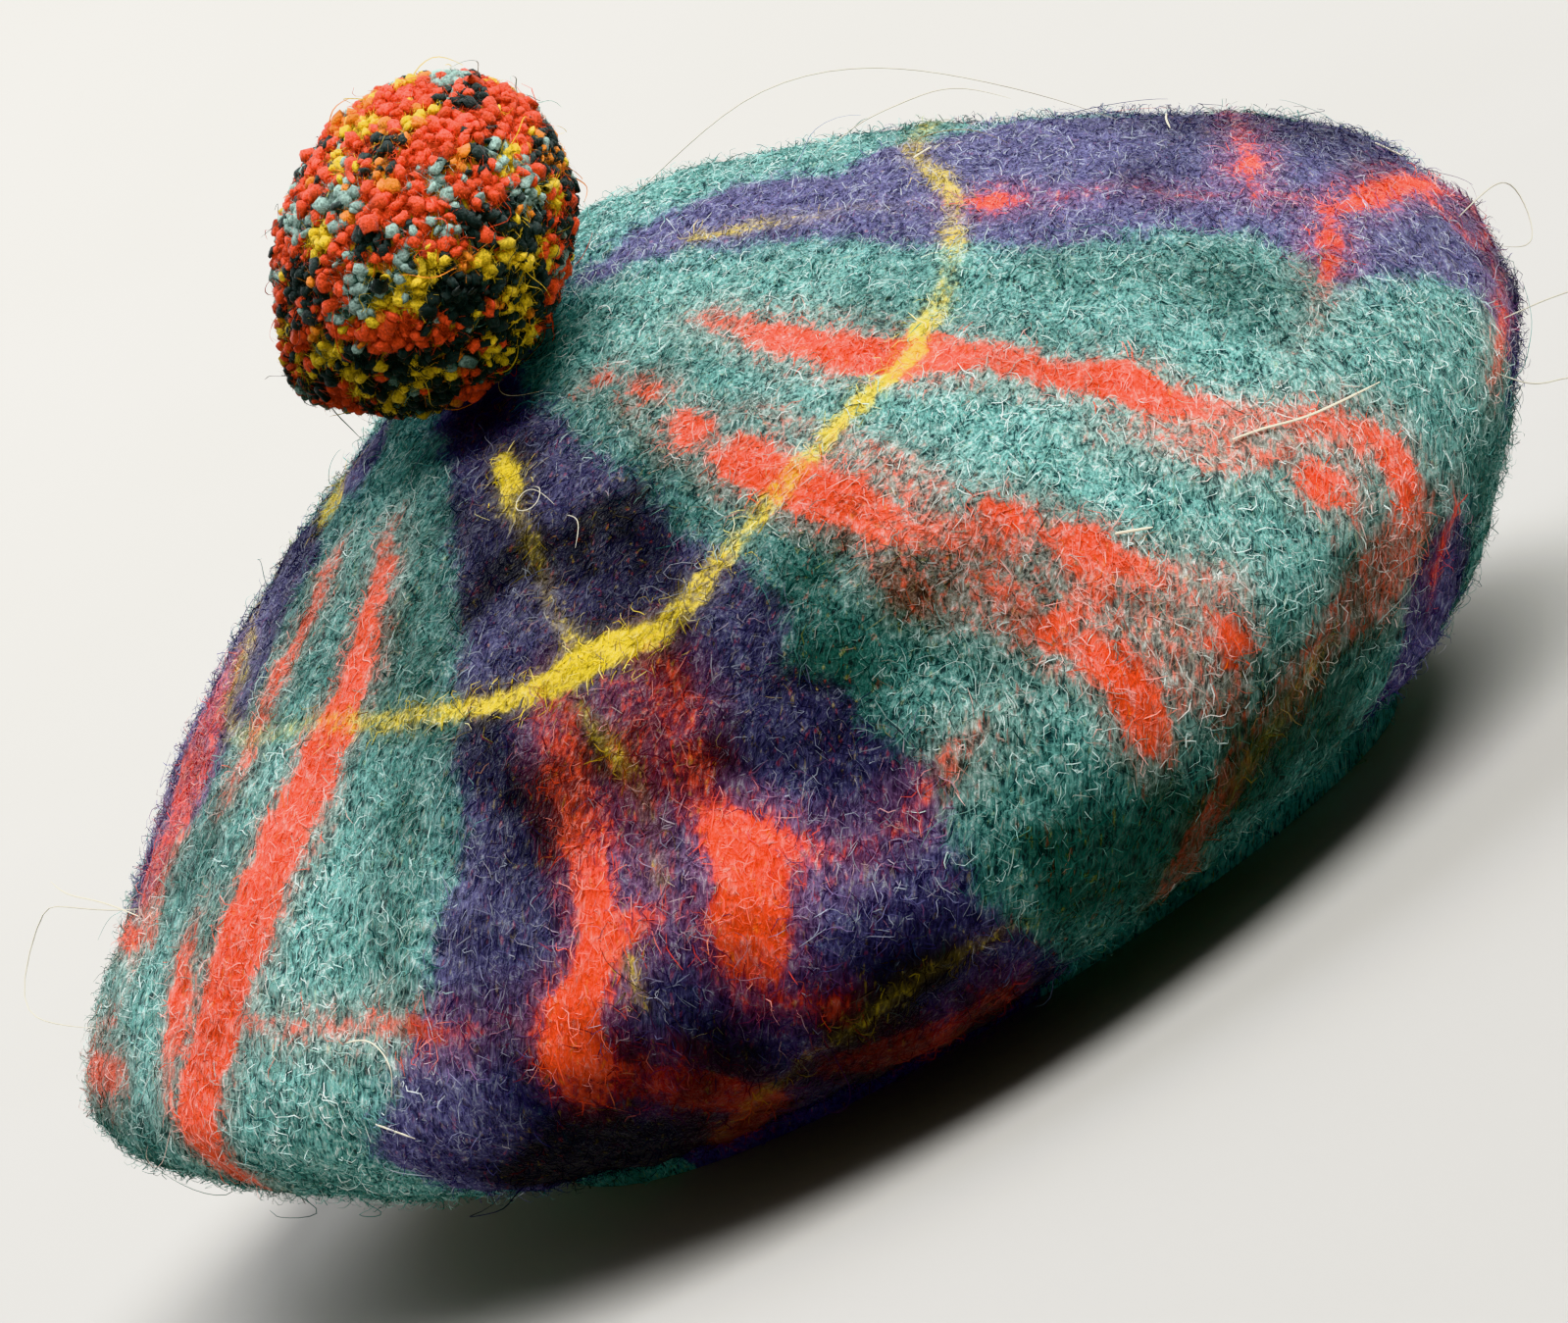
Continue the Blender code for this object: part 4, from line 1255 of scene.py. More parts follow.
class FibreComb:
    """Lays loose fibres over a surface."""

    STRAY = 0.38                    # radians, how far the combed fibres stray from the brush's way
    WAVES = (0.6, 1.5)              # how often a fibre sways along its length
    FALL = (0.45, 1.0)              # where its tip is on the arch of a fibre: half way, or down again
    SINK = 0.15 * MM                # how deep its root is in the felt
    WIDTHS = (0.7, 1.3)             # of the kind's width
    TAPER = ((0.0, 0.4, 1.0), (0.8, 1.0, 0.35))     # places along a fibre, and the width there
    DEEPEST = 0.02                  # the lowest tone

    def __init__(self, seed: int) -> None:
        """Seed the draws."""
        self.chance = np.random.default_rng(seed)

    def headings(self, kind: FibreKind, normals: np.ndarray) -> np.ndarray:
        """Draw which way fibres lie: some follow the brush, up or down, and the rest lie any way.

        Args:
            kind: What the fibres are like.
            normals: The surface's normals at their roots.

        Returns:
            Unit vectors along the surface.
        """
        count = len(normals)
        way = unit(BRUSH_WAY - (normals @ BRUSH_WAY)[:, None] * normals)
        combed = self.chance.uniform(size=count) < kind.combed
        angle = np.where(combed, self.chance.normal(0.0, self.STRAY, count),
                         self.chance.uniform(-math.pi, math.pi, count))
        angle = angle + math.pi * (self.chance.uniform(size=count) < 0.5)
        return np.cos(angle)[:, None] * way + np.sin(angle)[:, None] * np.cross(normals, way)

    def paths(self, kind: FibreKind, roots: np.ndarray, normals: np.ndarray) -> Pair:
        """Work out the lines of fibres.

        Args:
            kind: What the fibres are like.
            roots: Where each grows, n x 3, in metres.
            normals: The surface's normals there.

        Returns:
            Points along each fibre, n x s x 3, and unit vectors across it.
        """
        headings = self.headings(kind, normals)
        count = len(roots)
        draw = self.chance.uniform
        along = np.linspace(0.0, 1.0, kind.segments + 1)
        length = draw(*kind.length, (count, 1)) * MM
        sway = np.radians(draw(*kind.curl, (count, 1)))
        phase = draw(0.0, ROUND, (count, 1))
        waves = draw(*self.WAVES, (count, 1))
        bend = np.radians(kind.turn) * self.chance.normal(size=(count, 1))
        angle = sway * np.sin(ROUND * waves * along + phase) + bend * along
        aside = np.cross(normals, headings)
        step = np.cos(angle)[..., None] * headings[:, None] + np.sin(angle)[..., None] * aside[:, None]
        step *= (length / kind.segments)[..., None]
        flat = np.zeros_like(step)
        flat[:, 1:] = np.cumsum((step[:, 1:] + step[:, :-1]) / 2.0, axis=1)
        lift = draw(*kind.lift, (count, 1)) * MM
        fall = draw(*self.FALL, (count, 1))
        height = lift * np.sin(math.pi * along * fall) - self.SINK
        path = roots[:, None] + flat + height[..., None] * normals[:, None]
        tangent = unit(np.gradient(path, axis=1))
        side = unit(np.cross(tangent, normals[:, None]))
        face = np.cross(side, tangent)
        twist = np.radians(kind.twist) * draw(-1.0, 1.0, (count, 1, 1))
        return path, np.cos(twist) * side + np.sin(twist) * face

    def ribbons(self, kind: FibreKind, path: np.ndarray, across: np.ndarray) -> Pair:
        """Turn fibres to ribbons that narrow to the tip.

        Args:
            kind: What the fibres are like.
            path: Points along each fibre.
            across: Unit vectors across it.

        Returns:
            Corners, two for each point of a fibre, and quads.
        """
        count, points = path.shape[:2]
        taper = np.interp(np.linspace(0.0, 1.0, points), *self.TAPER)
        wide = self.chance.uniform(*self.WIDTHS, (count, 1)) * taper * kind.width * MM / 2.0
        corners = np.stack([path - across * wide[..., None], path + across * wide[..., None]], axis=2)
        first = (np.arange(count)[:, None] * points + np.arange(points - 1)) * 2
        quads = np.stack([first, first + 1, first + 3, first + 2], axis=-1)
        return corners.reshape(-1, 3), quads.reshape(-1, 4)

    def tones(self, kind: FibreKind) -> np.ndarray:
        """How deep or pale each fibre is."""
        return np.clip(self.chance.normal(*kind.tone, kind.count), self.DEEPEST, 1.0)


# ---- the crown --------------------------------------------------------------------------------------

@dataclass(frozen=True)
class LongHair:
    """One long stray hair: places on the cloth in mm, and how high it stands over each."""

    name: str
    route: tuple[tuple[float, float, float], ...]
    radius: float
    cream: float                    # 0 grey, 1 cream


LONG_HAIRS = (
    LongHair("over_the_top", ((14, 19, 2), (17, 30, 8), (18, 42, 13), (20, 56, 14.5), (23, 68, 13),
                              (26, 80, 10), (28, 94, 5), (26, 104, 1)), 0.10, 0.35),
    LongHair("over_the_line", ((19, 52, 0), (20, 58, 4), (22, 66, 7), (25, 74, 9), (30, 84, 7)),
             0.10, 0.5),
    LongHair("across_front_high", ((134, 86, 0.8), (132, 93, 1.2), (130, 100, 1.4), (127, 108, 1.4),
                                   (121, 119, 1.2)), 0.24, 1.0),
    LongHair("bar_low", ((146, 61, 0.9), (147, 66, 0.9)), 0.26, 1.0),
    LongHair("bar_band", ((18, 115, 0.9), (30, 112, 1.0), (36, 111, 0.9)), 0.22, 0.9),
    LongHair("bar_end", ((33, 149, 0.9), (35, 154, 0.9)), 0.22, 0.9),
    LongHair("bar_line", ((36, 64, 0.9), (31, 69, 1.0)), 0.24, 0.9),
    LongHair("under_pompom", ((36, -8, 1.5), (40, -17, 1.6), (46, -18, 1.4), (55, -10, 1.0)), 0.12, 0.3),
    LongHair("wedge_curl", ((80, -20, 0.7), (84, -19, 2.0), (87, -22, 2.4), (84, -25, 2.0),
                            (81, -22, 1.6), (88, -18, 1.0)), 0.09, 0.6),
    LongHair("wedge_curl_low", ((92, -18, 0.8), (97, -17, 2.0), (101, -20, 1.2)), 0.09, 0.6),
    LongHair("back_hem_curl", ((136, -103, 0.6), (143, -97, 2.2), (147, -97, 2.8), (149, -102, 1.0)),
             0.13, 0.9),
    LongHair("back_hem_bar", ((148, -109, 0.9), (155, -106, 1.2)), 0.2, 0.9),
    LongHair("back_loop", ((41, -136, 1), (28, -142, 6), (12, -148, 13), (0, -155, 16), (4, -166, 15),
                           (22, -166, 8), (44, -158, 2)), 0.12, 0.5),
    LongHair("back_spur", ((45, -136, 1), (30, -140, 7), (16, -144, 12), (4, -146, 16)), 0.13, 0.8),
    LongHair("front_spur_high", ((84, 163, 1), (76, 168, 8), (68, 173, 14), (60, 176, 16.5)), 0.12, 0.3),
    LongHair("front_spur_low", ((99, 158, 1), (96, 165, 7), (90, 170, 12), (94, 176, 16)), 0.12, 0.4),
    LongHair("front_curl", ((60, 158, 1), (52, 162, 6), (46, 168, 9), (54, 172, 7), (62, 166, 3)),
             0.13, 0.3),
)


@dataclass
class Crown:
    """The felt cap: its skin outside and inside, its cut edge, and the nap brushed up from it."""

    form: CapForm
    chart: TartanChart
    around: int = 336
    rows: int = 144
    rows_inside: int = 44
    cut_edge: float = 6.0 * MM      # from the cut edge up, before the lumps are at their full height
    lump: float = 7.0 * MM          # across the small lumps of the felt
    lump_height: float = 0.45 * MM
    lump_waves: int = 14
    lump_sizes: tuple[float, float] = (0.7, 0.2)    # of the first wave, and more for each, times lump
    even_reads: tuple[int, int] = (16, 400)     # angles and rings at which the cloth is measured
    seed: int = 11
    # The curled and standing fibres are toned paler than dyed: partly undyed fibre, partly painted light on
    # fibres that catch the lamp.
    naps: tuple[FibreKind, ...] = (
        FibreKind("crown_nap_short_1", 42000, 2, (2.2, 4.8), 0.18, (0.25, 0.8), (10, 60), 45, 40,
                  (0.40, 0.34), 0.7),
        FibreKind("crown_nap_short_2", 42000, 2, (2.4, 5.2), 0.17, (0.3, 0.9), (10, 60), 50, 50,
                  (0.52, 0.34), 0.7),
        FibreKind("crown_nap_curled", 20500, 4, (3.0, 6.8), 0.18, (0.5, 1.4), (60, 150), 120, 60,
                  (0.76, 0.26), 0.4),
        FibreKind("crown_nap_standing", 20500, 4, (2.6, 6.0), 0.14, (1.0, 2.6), (40, 130), 90, 85,
                  (0.72, 0.26), 0.5),
    )
    # How far up the rings, and the share of the nap that grows there.
    thinning: tuple[tuple[float, ...], ...] = ((0.0, 0.05, 0.25, 0.40), (0.25, 0.5, 0.6, 1.0))
    pulled: float = 1.3             # mm, how far from beside a fibre's dye comes
    stirred: float = 0.5 * MM       # and how far its place in the noise is moved
    # Toned paler than dyed: partly undyed fibre, partly painted light.
    strays: FibreKind = FibreKind("crown_stray_hairs", 110, 12, (10, 30), 0.2, (2.0, 6.0), (30, 120), 110,
                                  90, (0.75, 0.2), 0.2)
    stray_seed: int = 71
    stray_sides: int = 3
    stray_tip: float = 0.4          # how thick a stray hair's tip is, as a share of its root
    hair_steps: int = 24
    hair_sides: int = 4
    hair_taper: tuple[tuple[float, ...], ...] = ((0.0, 0.1, 0.8, 1.0), (0.6, 1.0, 0.9, 0.4))
    nap_floor: float = 0.1 * MM     # the lowest that the middle of a fibre goes
    stray_floor: float = 0.2 * MM
    hair_floor: float = 0.3 * MM

    def __post_init__(self) -> None:
        """Work out the outside once, for the skin and the fibres on it."""
        self.azimuth = round_angles(self.around)
        self.ups = self.even_rows(self.rows)
        self.outside = self.form.outside(self.azimuth, self.ups)
        self.normals = self.form.normals(self.outside)
        self.cloth = self.cloth_of(self.outside, self.azimuth)

    def even_rows(self, count: int) -> np.ndarray:
        """Space rows evenly on the cloth.

        Args:
            count: How many rows.

        Returns:
            How far up the rings each is, from the mouth at 0 to the tip at 1.
        """
        angles, rings = self.even_reads
        fine = np.linspace(0.0, 1.0, rings)
        length = lengths_along(self.form.outside(round_angles(angles), fine))
        return np.interp(np.linspace(0.0, length[-1], count), length, fine)

    @staticmethod
    def cloth_of(points: np.ndarray, azimuth: np.ndarray) -> np.ndarray:
        """Lay a grid of points out on the flat cloth.

        Args:
            points: The grid, with rings up it and angles along them.
            azimuth: The angles, in radians.

        Returns:
            Places on the cloth, in mm from the tip.
        """
        steps = np.linalg.norm(np.diff(points, axis=0), axis=-1)
        reach = np.zeros(points.shape[:2])
        reach[:-1] = steps[::-1].cumsum(axis=0)[::-1] / MM
        return np.stack([reach * np.sin(azimuth), reach * np.cos(azimuth)], axis=-1)

    def lumps(self, points: np.ndarray) -> np.ndarray:
        """Work out the felt's small lumps, from waves of several sizes that cross.

        Args:
            points: Places on the felt, in metres.

        Returns:
            How far the felt stands out at each, in metres.
        """
        chance = np.random.default_rng(self.seed)
        height = np.zeros(points.shape[:-1])
        first, more = self.lump_sizes
        for wave in range(self.lump_waves):
            size = self.lump * (first + more * wave)
            way = unit(chance.normal(size=3))
            height += np.sin(points @ way * (ROUND / size) + chance.uniform(0.0, ROUND))
        return height * self.lump_height / math.sqrt(self.lump_waves / 2.0)

    def skin_grid(self, ups: np.ndarray, inside: bool) -> Pair:
        """Work out one side of the felt.

        Args:
            ups: How far up the rings each row is.
            inside: Whether it is the inside.

        Returns:
            A grid of points, and where they lie on the cloth.
        """
        outside = self.form.outside(self.azimuth, ups)
        normals = self.form.normals(outside)
        cloth = self.cloth_of(outside, self.azimuth)
        if inside:
            points = outside - self.form.thickness * normals
            edge = outside[0]
            outward = unit(edge[:, :2] - edge[:, :2].mean(axis=0))
            points[0] = edge
            points[0, :, :2] -= self.form.thickness * outward
        else:
            rise = np.clip(outside[..., 2] / self.cut_edge, 0.0, 1.0)[..., None]
            points = outside + rise * self.lumps(outside)[..., None] * normals
        lift_above(points, 0.0)
        return points, cloth

    def build_skin(self, felt: bpy.types.Material) -> None:
        """Build the felt wall as one closed mesh that replaces the plain solid.

        Args:
            felt: Its material.
        """
        points, quads, triangles, cloths, mouths = [], [], [], [], []
        ring, around, first = np.arange(self.around), self.around, 0
        after = np.roll(ring, -1)
        for ups, inside in ((self.ups, False), (self.even_rows(self.rows_inside), True)):
            grid, cloth = self.skin_grid(ups, inside)
            last = first + (len(ups) - 2) * around
            tip = last + around
            faces = band_quads(first + np.arange(len(ups) - 2) * around, around)[:, [0, 3, 2, 1]]
            fan = np.stack([last + ring, np.full(around, tip), last + after], axis=-1)
            quads.append(faces[:, ::-1] if inside else faces)
            triangles.append(fan[:, ::-1] if inside else fan)
            points.append(np.concatenate([grid[:-1].reshape(-1, 3), grid[-1].mean(axis=0)[None]]))
            cloths.append(np.concatenate([cloth[:-1].reshape(-1, 2), np.zeros((1, 2))]))
            mouths.append(first + ring)
            first = tip + 1
        outer, inner = mouths
        quads.append(np.stack([outer, outer[after], inner[after], inner], axis=-1))
        places, cloth = np.concatenate(points), np.concatenate(cloths)
        marks = self.dye_marks(places, cloth, np.full(len(cloth), AS_DYED))
        skin = make_piece("crown_felt", places, np.concatenate(quads), marks, felt,
                          np.concatenate(triangles))
        hand_in(skin, Slot.FELT, "crown")

    def dye_marks(self, places: np.ndarray, cloth: np.ndarray,
                  tones: np.ndarray) -> dict[str, np.ndarray]:
        """The attributes that a wool finish reads.

        Args:
            places: Where each corner's fibre is rooted, in metres.
            cloth: Where that is on the cloth, in mm.
            tones: How deep or pale the fibre is.

        Returns:
            Vectors by attribute name.
        """
        edges, shares = self.chart.read(cloth)
        look = np.column_stack([tones, self.chart.clearness(cloth)])
        return {"root": places / MM, "edges": edges, "shares": shares, "look": look}

    def scatter(self, count: int, chance: np.random.Generator) -> tuple[np.ndarray, ...]:
        """Draw places on the outside, evenly over its area but fewer below the crest.

        Args:
            count: How many.
            chance: The source of the draws.

        Returns:
            Points, normals, and places on the cloth.
        """
        down = np.linalg.norm(np.diff(self.outside, axis=0), axis=-1)
        across = np.linalg.norm(np.roll(self.outside, -1, axis=1) - self.outside, axis=-1)[:-1]
        area = down * (across + np.roll(across, -1, axis=0)) / 2.0
        weight = (area * np.interp(self.ups[:-1], *self.thinning)[:, None]).ravel()
        cell = chance.choice(weight.size, size=count, p=weight / weight.sum())
        row, column = np.divmod(cell, self.around)
        after = (column + 1) % self.around
        u, v = chance.uniform(size=(2, count, 1))
        places, normals, spots = (
            (grid[row, column] * (1 - u) + grid[row + 1, column] * u) * (1 - v)
            + (grid[row, after] * (1 - u) + grid[row + 1, after] * u) * v
            for grid in (self.outside, self.normals, self.cloth))
        places = places + self.lumps(places)[:, None] * normals
        return places, unit(normals), spots

    def build_nap(self, kind: FibreKind, wool: bpy.types.Material, seed: int) -> None:
        """Brush up one kind of fibre over the whole crown.

        Args:
            kind: What the fibres are like.
            wool: Their material.
            seed: Of their draws.
        """
        comb = FibreComb(seed)
        places, normals, spots = self.scatter(kind.count, comb.chance)
        path, across = comb.paths(kind, places, normals)
        lift_above(path, self.nap_floor)
        corners, quads = comb.ribbons(kind, path, across)
        lift_above(corners, 0.0)
        pulled = spots + comb.chance.normal(0.0, self.pulled, spots.shape)
        stirred = places + comb.chance.normal(0.0, self.stirred, places.shape)
        marks = self.dye_marks(stirred, pulled, comb.tones(kind))
        fibres = make_piece(kind.name, corners, quads, for_corners(marks, kind.corners), wool)
        hand_in(fibres, Slot.FELT)

    def build_strays(self, wool: bpy.types.Material) -> None:
        """Build the long stray hairs that are dyed as the felt at their roots is.

        Args:
            wool: Their material.
        """
        comb, kind = FibreComb(self.stray_seed), self.strays
        places, normals, spots = self.scatter(kind.count, comb.chance)
        path, across = comb.paths(kind, places, normals)
        lift_above(path, self.stray_floor)
        count, points = path.shape[:2]
        radii = np.full((count, points), kind.width * MM / 2.0) * np.linspace(1.0, self.stray_tip, points)
        corners, quads = tubes(path, radii, across, self.stray_sides)
        lift_above(corners, 0.0)
        marks = self.dye_marks(places, spots, comb.tones(kind))
        hairs = make_piece(kind.name, corners, quads, for_corners(marks, self.stray_sides * points), wool)
        hand_in(hairs, Slot.FELT)

    def place_on(self, spots: np.ndarray) -> Pair:
        """Find places of the cloth on the cap.

        Args:
            spots: Places on the cloth, n x 2, in mm.

        Returns:
            The points of the outside, and the normals there.
        """
        points, normals = [], []
        reach = np.linalg.norm(self.cloth, axis=-1)
        for right, front in spots:
            column = round(math.atan2(right, front) % ROUND / ROUND * self.around) % self.around
            row = np.interp(math.hypot(right, front), reach[::-1, column], np.arange(self.rows)[::-1])
            low = min(int(row), self.rows - 2)
            share = row - low
            for grid, read in ((self.outside, points), (self.normals, normals)):
                read.append(grid[low, column] * (1.0 - share) + grid[low + 1, column] * share)
        return np.array(points), unit(np.array(normals))

    def build_long_hairs(self, kemp: bpy.types.Material) -> None:
        """Build the undyed hairs of the table as one piece.

        Args:
            kemp: Their material.
        """
        corners, quads, looks = [], [], []
        taper = np.interp(np.linspace(0.0, 1.0, self.hair_steps), *self.hair_taper)
        for hair in LONG_HAIRS:
            route = np.array(hair.route, float)
            points, ups = self.place_on(route[:, :2])
            points = points + ups * route[:, 2:] * MM
            knots = lengths_along(points)
            curve = smooth_curve(knots, points, np.linspace(0.0, knots[-1], self.hair_steps))
            lift_above(curve, self.hair_floor)
            side = unit(np.cross(unit(np.gradient(curve, axis=0)), ups.mean(axis=0)))
            ring, faces = tubes(curve[None], hair.radius * MM * taper[None], side[None], self.hair_sides)
            quads.append(faces + sum(len(block) for block in corners))
            corners.append(ring)
            looks.append(np.tile((hair.cream, 0.0, 0.0), (len(ring), 1)))
        hairs = make_piece("crown_kemp_hairs", np.concatenate(corners), np.concatenate(quads),
                           {"look": np.concatenate(looks)}, kemp)
        hand_in(hairs, Slot.FELT)

    def build(self, felt: bpy.types.Material, wool: bpy.types.Material,
              kemp: bpy.types.Material) -> None:
        """Build the skin, every kind of nap and the stray hairs.

        Args:
            felt: The skin's material.
            wool: The loose fibres' material.
            kemp: The undyed hairs' material.
        """
        self.build_skin(felt)
        for number, kind in enumerate(self.naps):
            self.build_nap(kind, wool, self.seed + 1 + number)
        self.build_strays(wool)
        self.build_long_hairs(kemp)


# ---- the pompom -------------------------------------------------------------------------------------

@dataclass(frozen=True)
class YarnPatch:
    """A patch of one dye on the pompom, as places and sizes in mm in the picture's own plane."""

    ply: Ply
    aside: float                    # from the pompom's middle to the picture's right
    up: float
    wide: float
    high: float


PICTURE_RIGHT = np.array([0.0, -math.cos(BRUSH_TILT), -math.sin(BRUSH_TILT)])
PICTURE_UP = BRUSH_WAY
# Aside, up, wide and high of each patch: a later one lies over those before it. The broad ground comes
# first, then the patches on it, and then the single ends.
YARN_PATCHES = tuple(YarnPatch(ply, *patch) for ply, patches in (
    (Ply.RED, ((10, 24, 26, 22), (-12, 24, 20, 20), (2, 8, 26, 20), (-18, 4, 20, 22), (-16, -12, 24, 18))),
    # The broad dark ground low and to the right is partly dark yarn, partly painted shade on the side away
    # from the light.
    (Ply.DARK, ((24, 4, 18, 34), (4, -20, 50, 26), (-6, -32, 18, 8), (-24, -18, 12, 10))),
    (Ply.RED, ((-4, -14, 22, 7), (16, -26, 22, 6), (-15, -28, 8, 8), (-24, -30, 12, 9), (2, -33, 14, 6),
        (-22, -19, 9, 8), (-31, -4, 6, 14))),
    (Ply.TEAL, ((-28, -10, 6, 16),)),
    (Ply.RED, ((16, 27, 13, 13),)),
    (Ply.DARK, ((7, 25, 7, 7), (9, 4, 5, 5), (13, 3, 5, 4))),
    (Ply.TEAL, ((4, 28, 6, 5), (-9, 31, 6, 4), (4, 2, 6, 4), (-13, 7, 7, 7), (-21, 3, 6, 6),
        (-24, 10, 5, 5))),
    (Ply.YELLOW, ((-20, 22, 5, 8), (-15, 27, 5, 5), (-3, 29, 6, 6))),
    (Ply.ORANGE, ((-14, 21, 5, 5), (-5, 11, 6, 6), (-22, 17, 5, 5), (8, 14, 6, 5), (-10, 27, 8, 7))),
    (Ply.YELLOW, ((-9, 19, 9, 4), (0, 21, 6, 4), (-12, 13, 8, 5))),
    (Ply.DARK, ((-22, 13, 6, 6), (-6, 15, 6, 6), (-8, -1, 7, 6), (-20, -6, 7, 8), (5, -6, 6, 8),
        (29, 18, 6, 10))),
    (Ply.TEAL, ((1, 11, 7, 4), (-9, -8, 8, 8), (14, 15, 5, 5), (18, 8, 5, 7))),
    (Ply.RED, ((30, 8, 6, 14), (24, -7, 6, 9), (17, 12, 5, 5))),
    (Ply.ORANGE, ((9, -4, 4, 3),)),
    (Ply.YELLOW, ((-17, 0, 4, 4), (-30, 0, 4, 4), (2, -2, 4, 4), (11, -4, 4, 4), (-5, -10, 4, 4),
        (-1, -10, 4, 5), (16, -9, 4, 4), (17, -4, 4, 4), (12, -18, 5, 5), (17, -15, 4, 4),
        (-16, -18, 5, 5), (-24, -15, 4, 5), (-12, -23, 4, 6), (0, -21, 4, 4), (25, 17, 4, 8),
        (21, 24, 4, 4), (22, 8, 3, 6), (21, -1, 4, 4), (32, -2, 4, 7), (15, 13, 3, 5), (20, -19, 5, 3),
        (-20, -22, 3, 3), (-6, -27, 3, 4))),
    (Ply.ORANGE, ((5, -20, 5, 4),)),
) for patch in patches)


@dataclass
class Pompom:
    """The pompom: cut ends of yarn all round a heart of the same wool in shade, and the fuzz on them."""

    half_width: float = 26.8 * MM
    half_height: float = 30.0 * MM
    tall_axis: tuple[float, float, float] = (0.0, -0.76, 0.65)
    flatness: float = 0.10          # how much flatter it is trimmed, high behind and low in front
    flat_turn: float = math.radians(32.0)
    lock: float = 3.8 * MM          # how far its lowest ends hang out behind
    lock_reach: float = math.radians(19.0)
    heart: float = 0.955            # the heart's size, as a share of the whole
    heart_light: float = 0.42       # the light that reaches it, and the tufts' lowest ring
    heart_around: int = 96
    heart_rows: int = 49
    heart_open: float = 0.02        # left open at each end of the heart, in radians
    tufts: int = 3300
    jitter: float = 1.5             # how far they are moved off an even spread
    patches: int = 210              # of one dye each, many tufts wide
    patch_shares: tuple[float, ...] = (0.40, 0.08, 0.08, 0.24, 0.20)    # of each dye of Ply, in order
    single_shares: tuple[float, ...] = (0.24, 0.12, 0.22, 0.20, 0.22)
    patched: float = 0.80           # the share of the tufts that are dyed as their patch is
    charted: float = 0.70           # and of those in the picture that are dyed as the chart says
    tuft_radius: tuple[float, float] = (0.8 * MM, 1.7 * MM)
    tuft_oval: tuple[float, float] = (0.45, 1.0)
    tuft_rough: tuple[float, float] = (0.70, 1.25)      # how far the corners of its section stand out
    tuft_depth: float = 4.2 * MM
    tuft_levels: tuple[tuple[float, float], ...] = ((-0.7, 0.8), (-0.16, 1.0), (-0.03, 0.78))
    tuft_light: tuple[float, ...] = (0.42, 0.92, 1.0, 1.0)      # at each level, and at the end's middle
    tuft_dome: float = 0.25 * MM    # how far the middle of a cut end stands out
    uneven: float = 0.8 * MM        # how unevenly the ends are trimmed
    cut: tuple[float, float] = (-1.0, 0.35)     # how far an end is cut short or stands out, times that
    light: tuple[float, float] = (0.80, 1.25)   # from one tuft to the next
    underside_shading: tuple[tuple[float, float], ...] = ((-0.9, 0.25), (0.40, 1.0))     # how high, and the light kept: painted shade low on the pompom
    lean: float = 0.42              # how far a tuft leans over, as a slope
    sides: int = 5
    seed: int = 71
    fuzz: FibreKind = FibreKind("pompom_fuzz", 40000, 1, (1.0, 2.5), 0.14, (0.3, 1.3), (10, 60), 50, 85,
                                (1.0, 0.3), 0.3)
    wisps: FibreKind = FibreKind("pompom_wisps", 140, 8, (5.0, 11.0), 0.18, (1.2, 3.6), (20, 80), 60, 90,
                                 (0.8, 0.2), 0.3)
    fuzz_spread: float = 0.03       # how far a fibre grows from the middle of its tuft, as a slope
    fuzz_sink: float = 0.5 * MM

    def __post_init__(self) -> None:
        """Find the pompom's middle in the frame, and seed the draws."""
        low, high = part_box("pompom")
        self.middle = np.array((low + high) / 2.0)
        self.chance = np.random.default_rng(self.seed)
        self.axis = unit(np.array(self.tall_axis))

    def on_surface(self, ways: np.ndarray) -> Pair:
        """Find places on the pompom's egg-shaped outside.

        Args:
            ways: Unit directions from its middle.

        Returns:
            The points in those directions, from the middle, and the normals there.
        """
        along = (ways @ self.axis)[:, None] * self.axis
        stretch = self.half_height / self.half_width
        points = (ways + (stretch - 1.0) * along) * self.half_width
        flat = PICTURE_UP * math.sin(self.flat_turn) - PICTURE_RIGHT * math.cos(self.flat_turn)
        points = points - self.flatness * (points @ flat)[:, None] * flat
        hang = -unit(PICTURE_RIGHT + PICTURE_UP)
        lock = np.exp((ways @ hang - 1.0) / (1.0 - math.cos(self.lock_reach)))
        points = points + (self.lock * lock)[:, None] * hang
        return points, unit(ways + (1.0 / stretch - 1.0) * along)

    def spread(self, count: int) -> np.ndarray:
        """Spread directions evenly all round, each moved a little at random.

        Args:
            count: How many.

        Returns:
            Unit directions.
        """
        number = np.arange(count) + 0.5
        height = 1.0 - 2.0 * number / count
        turn = number * math.pi * (3.0 - math.sqrt(5.0))
        flat = np.sqrt(1.0 - height ** 2)
        ways = np.stack([flat * np.cos(turn), flat * np.sin(turn), height], axis=-1)
        return unit(ways + self.chance.normal(0.0, self.jitter / math.sqrt(count), ways.shape))

    def plies(self, ways: np.ndarray) -> np.ndarray:
        """Draw the tufts' dyes: patches of one dye, with single tufts of another between them.

        Args:
            ways: The tufts' directions.

        Returns:
            The place of each tuft's dye, as in Ply.
        """
        seeds = unit(self.chance.normal(size=(self.patches, 3)))
        dyes = [ply.value for ply in Ply]
        patch_dye = self.chance.choice(dyes, size=self.patches, p=self.patch_shares)
        single = self.chance.choice(dyes, size=len(ways), p=self.single_shares)
        nearest = (ways @ seeds.T).argmax(axis=1)
        chosen = np.where(self.chance.uniform(size=len(ways)) < self.patched, patch_dye[nearest], single)
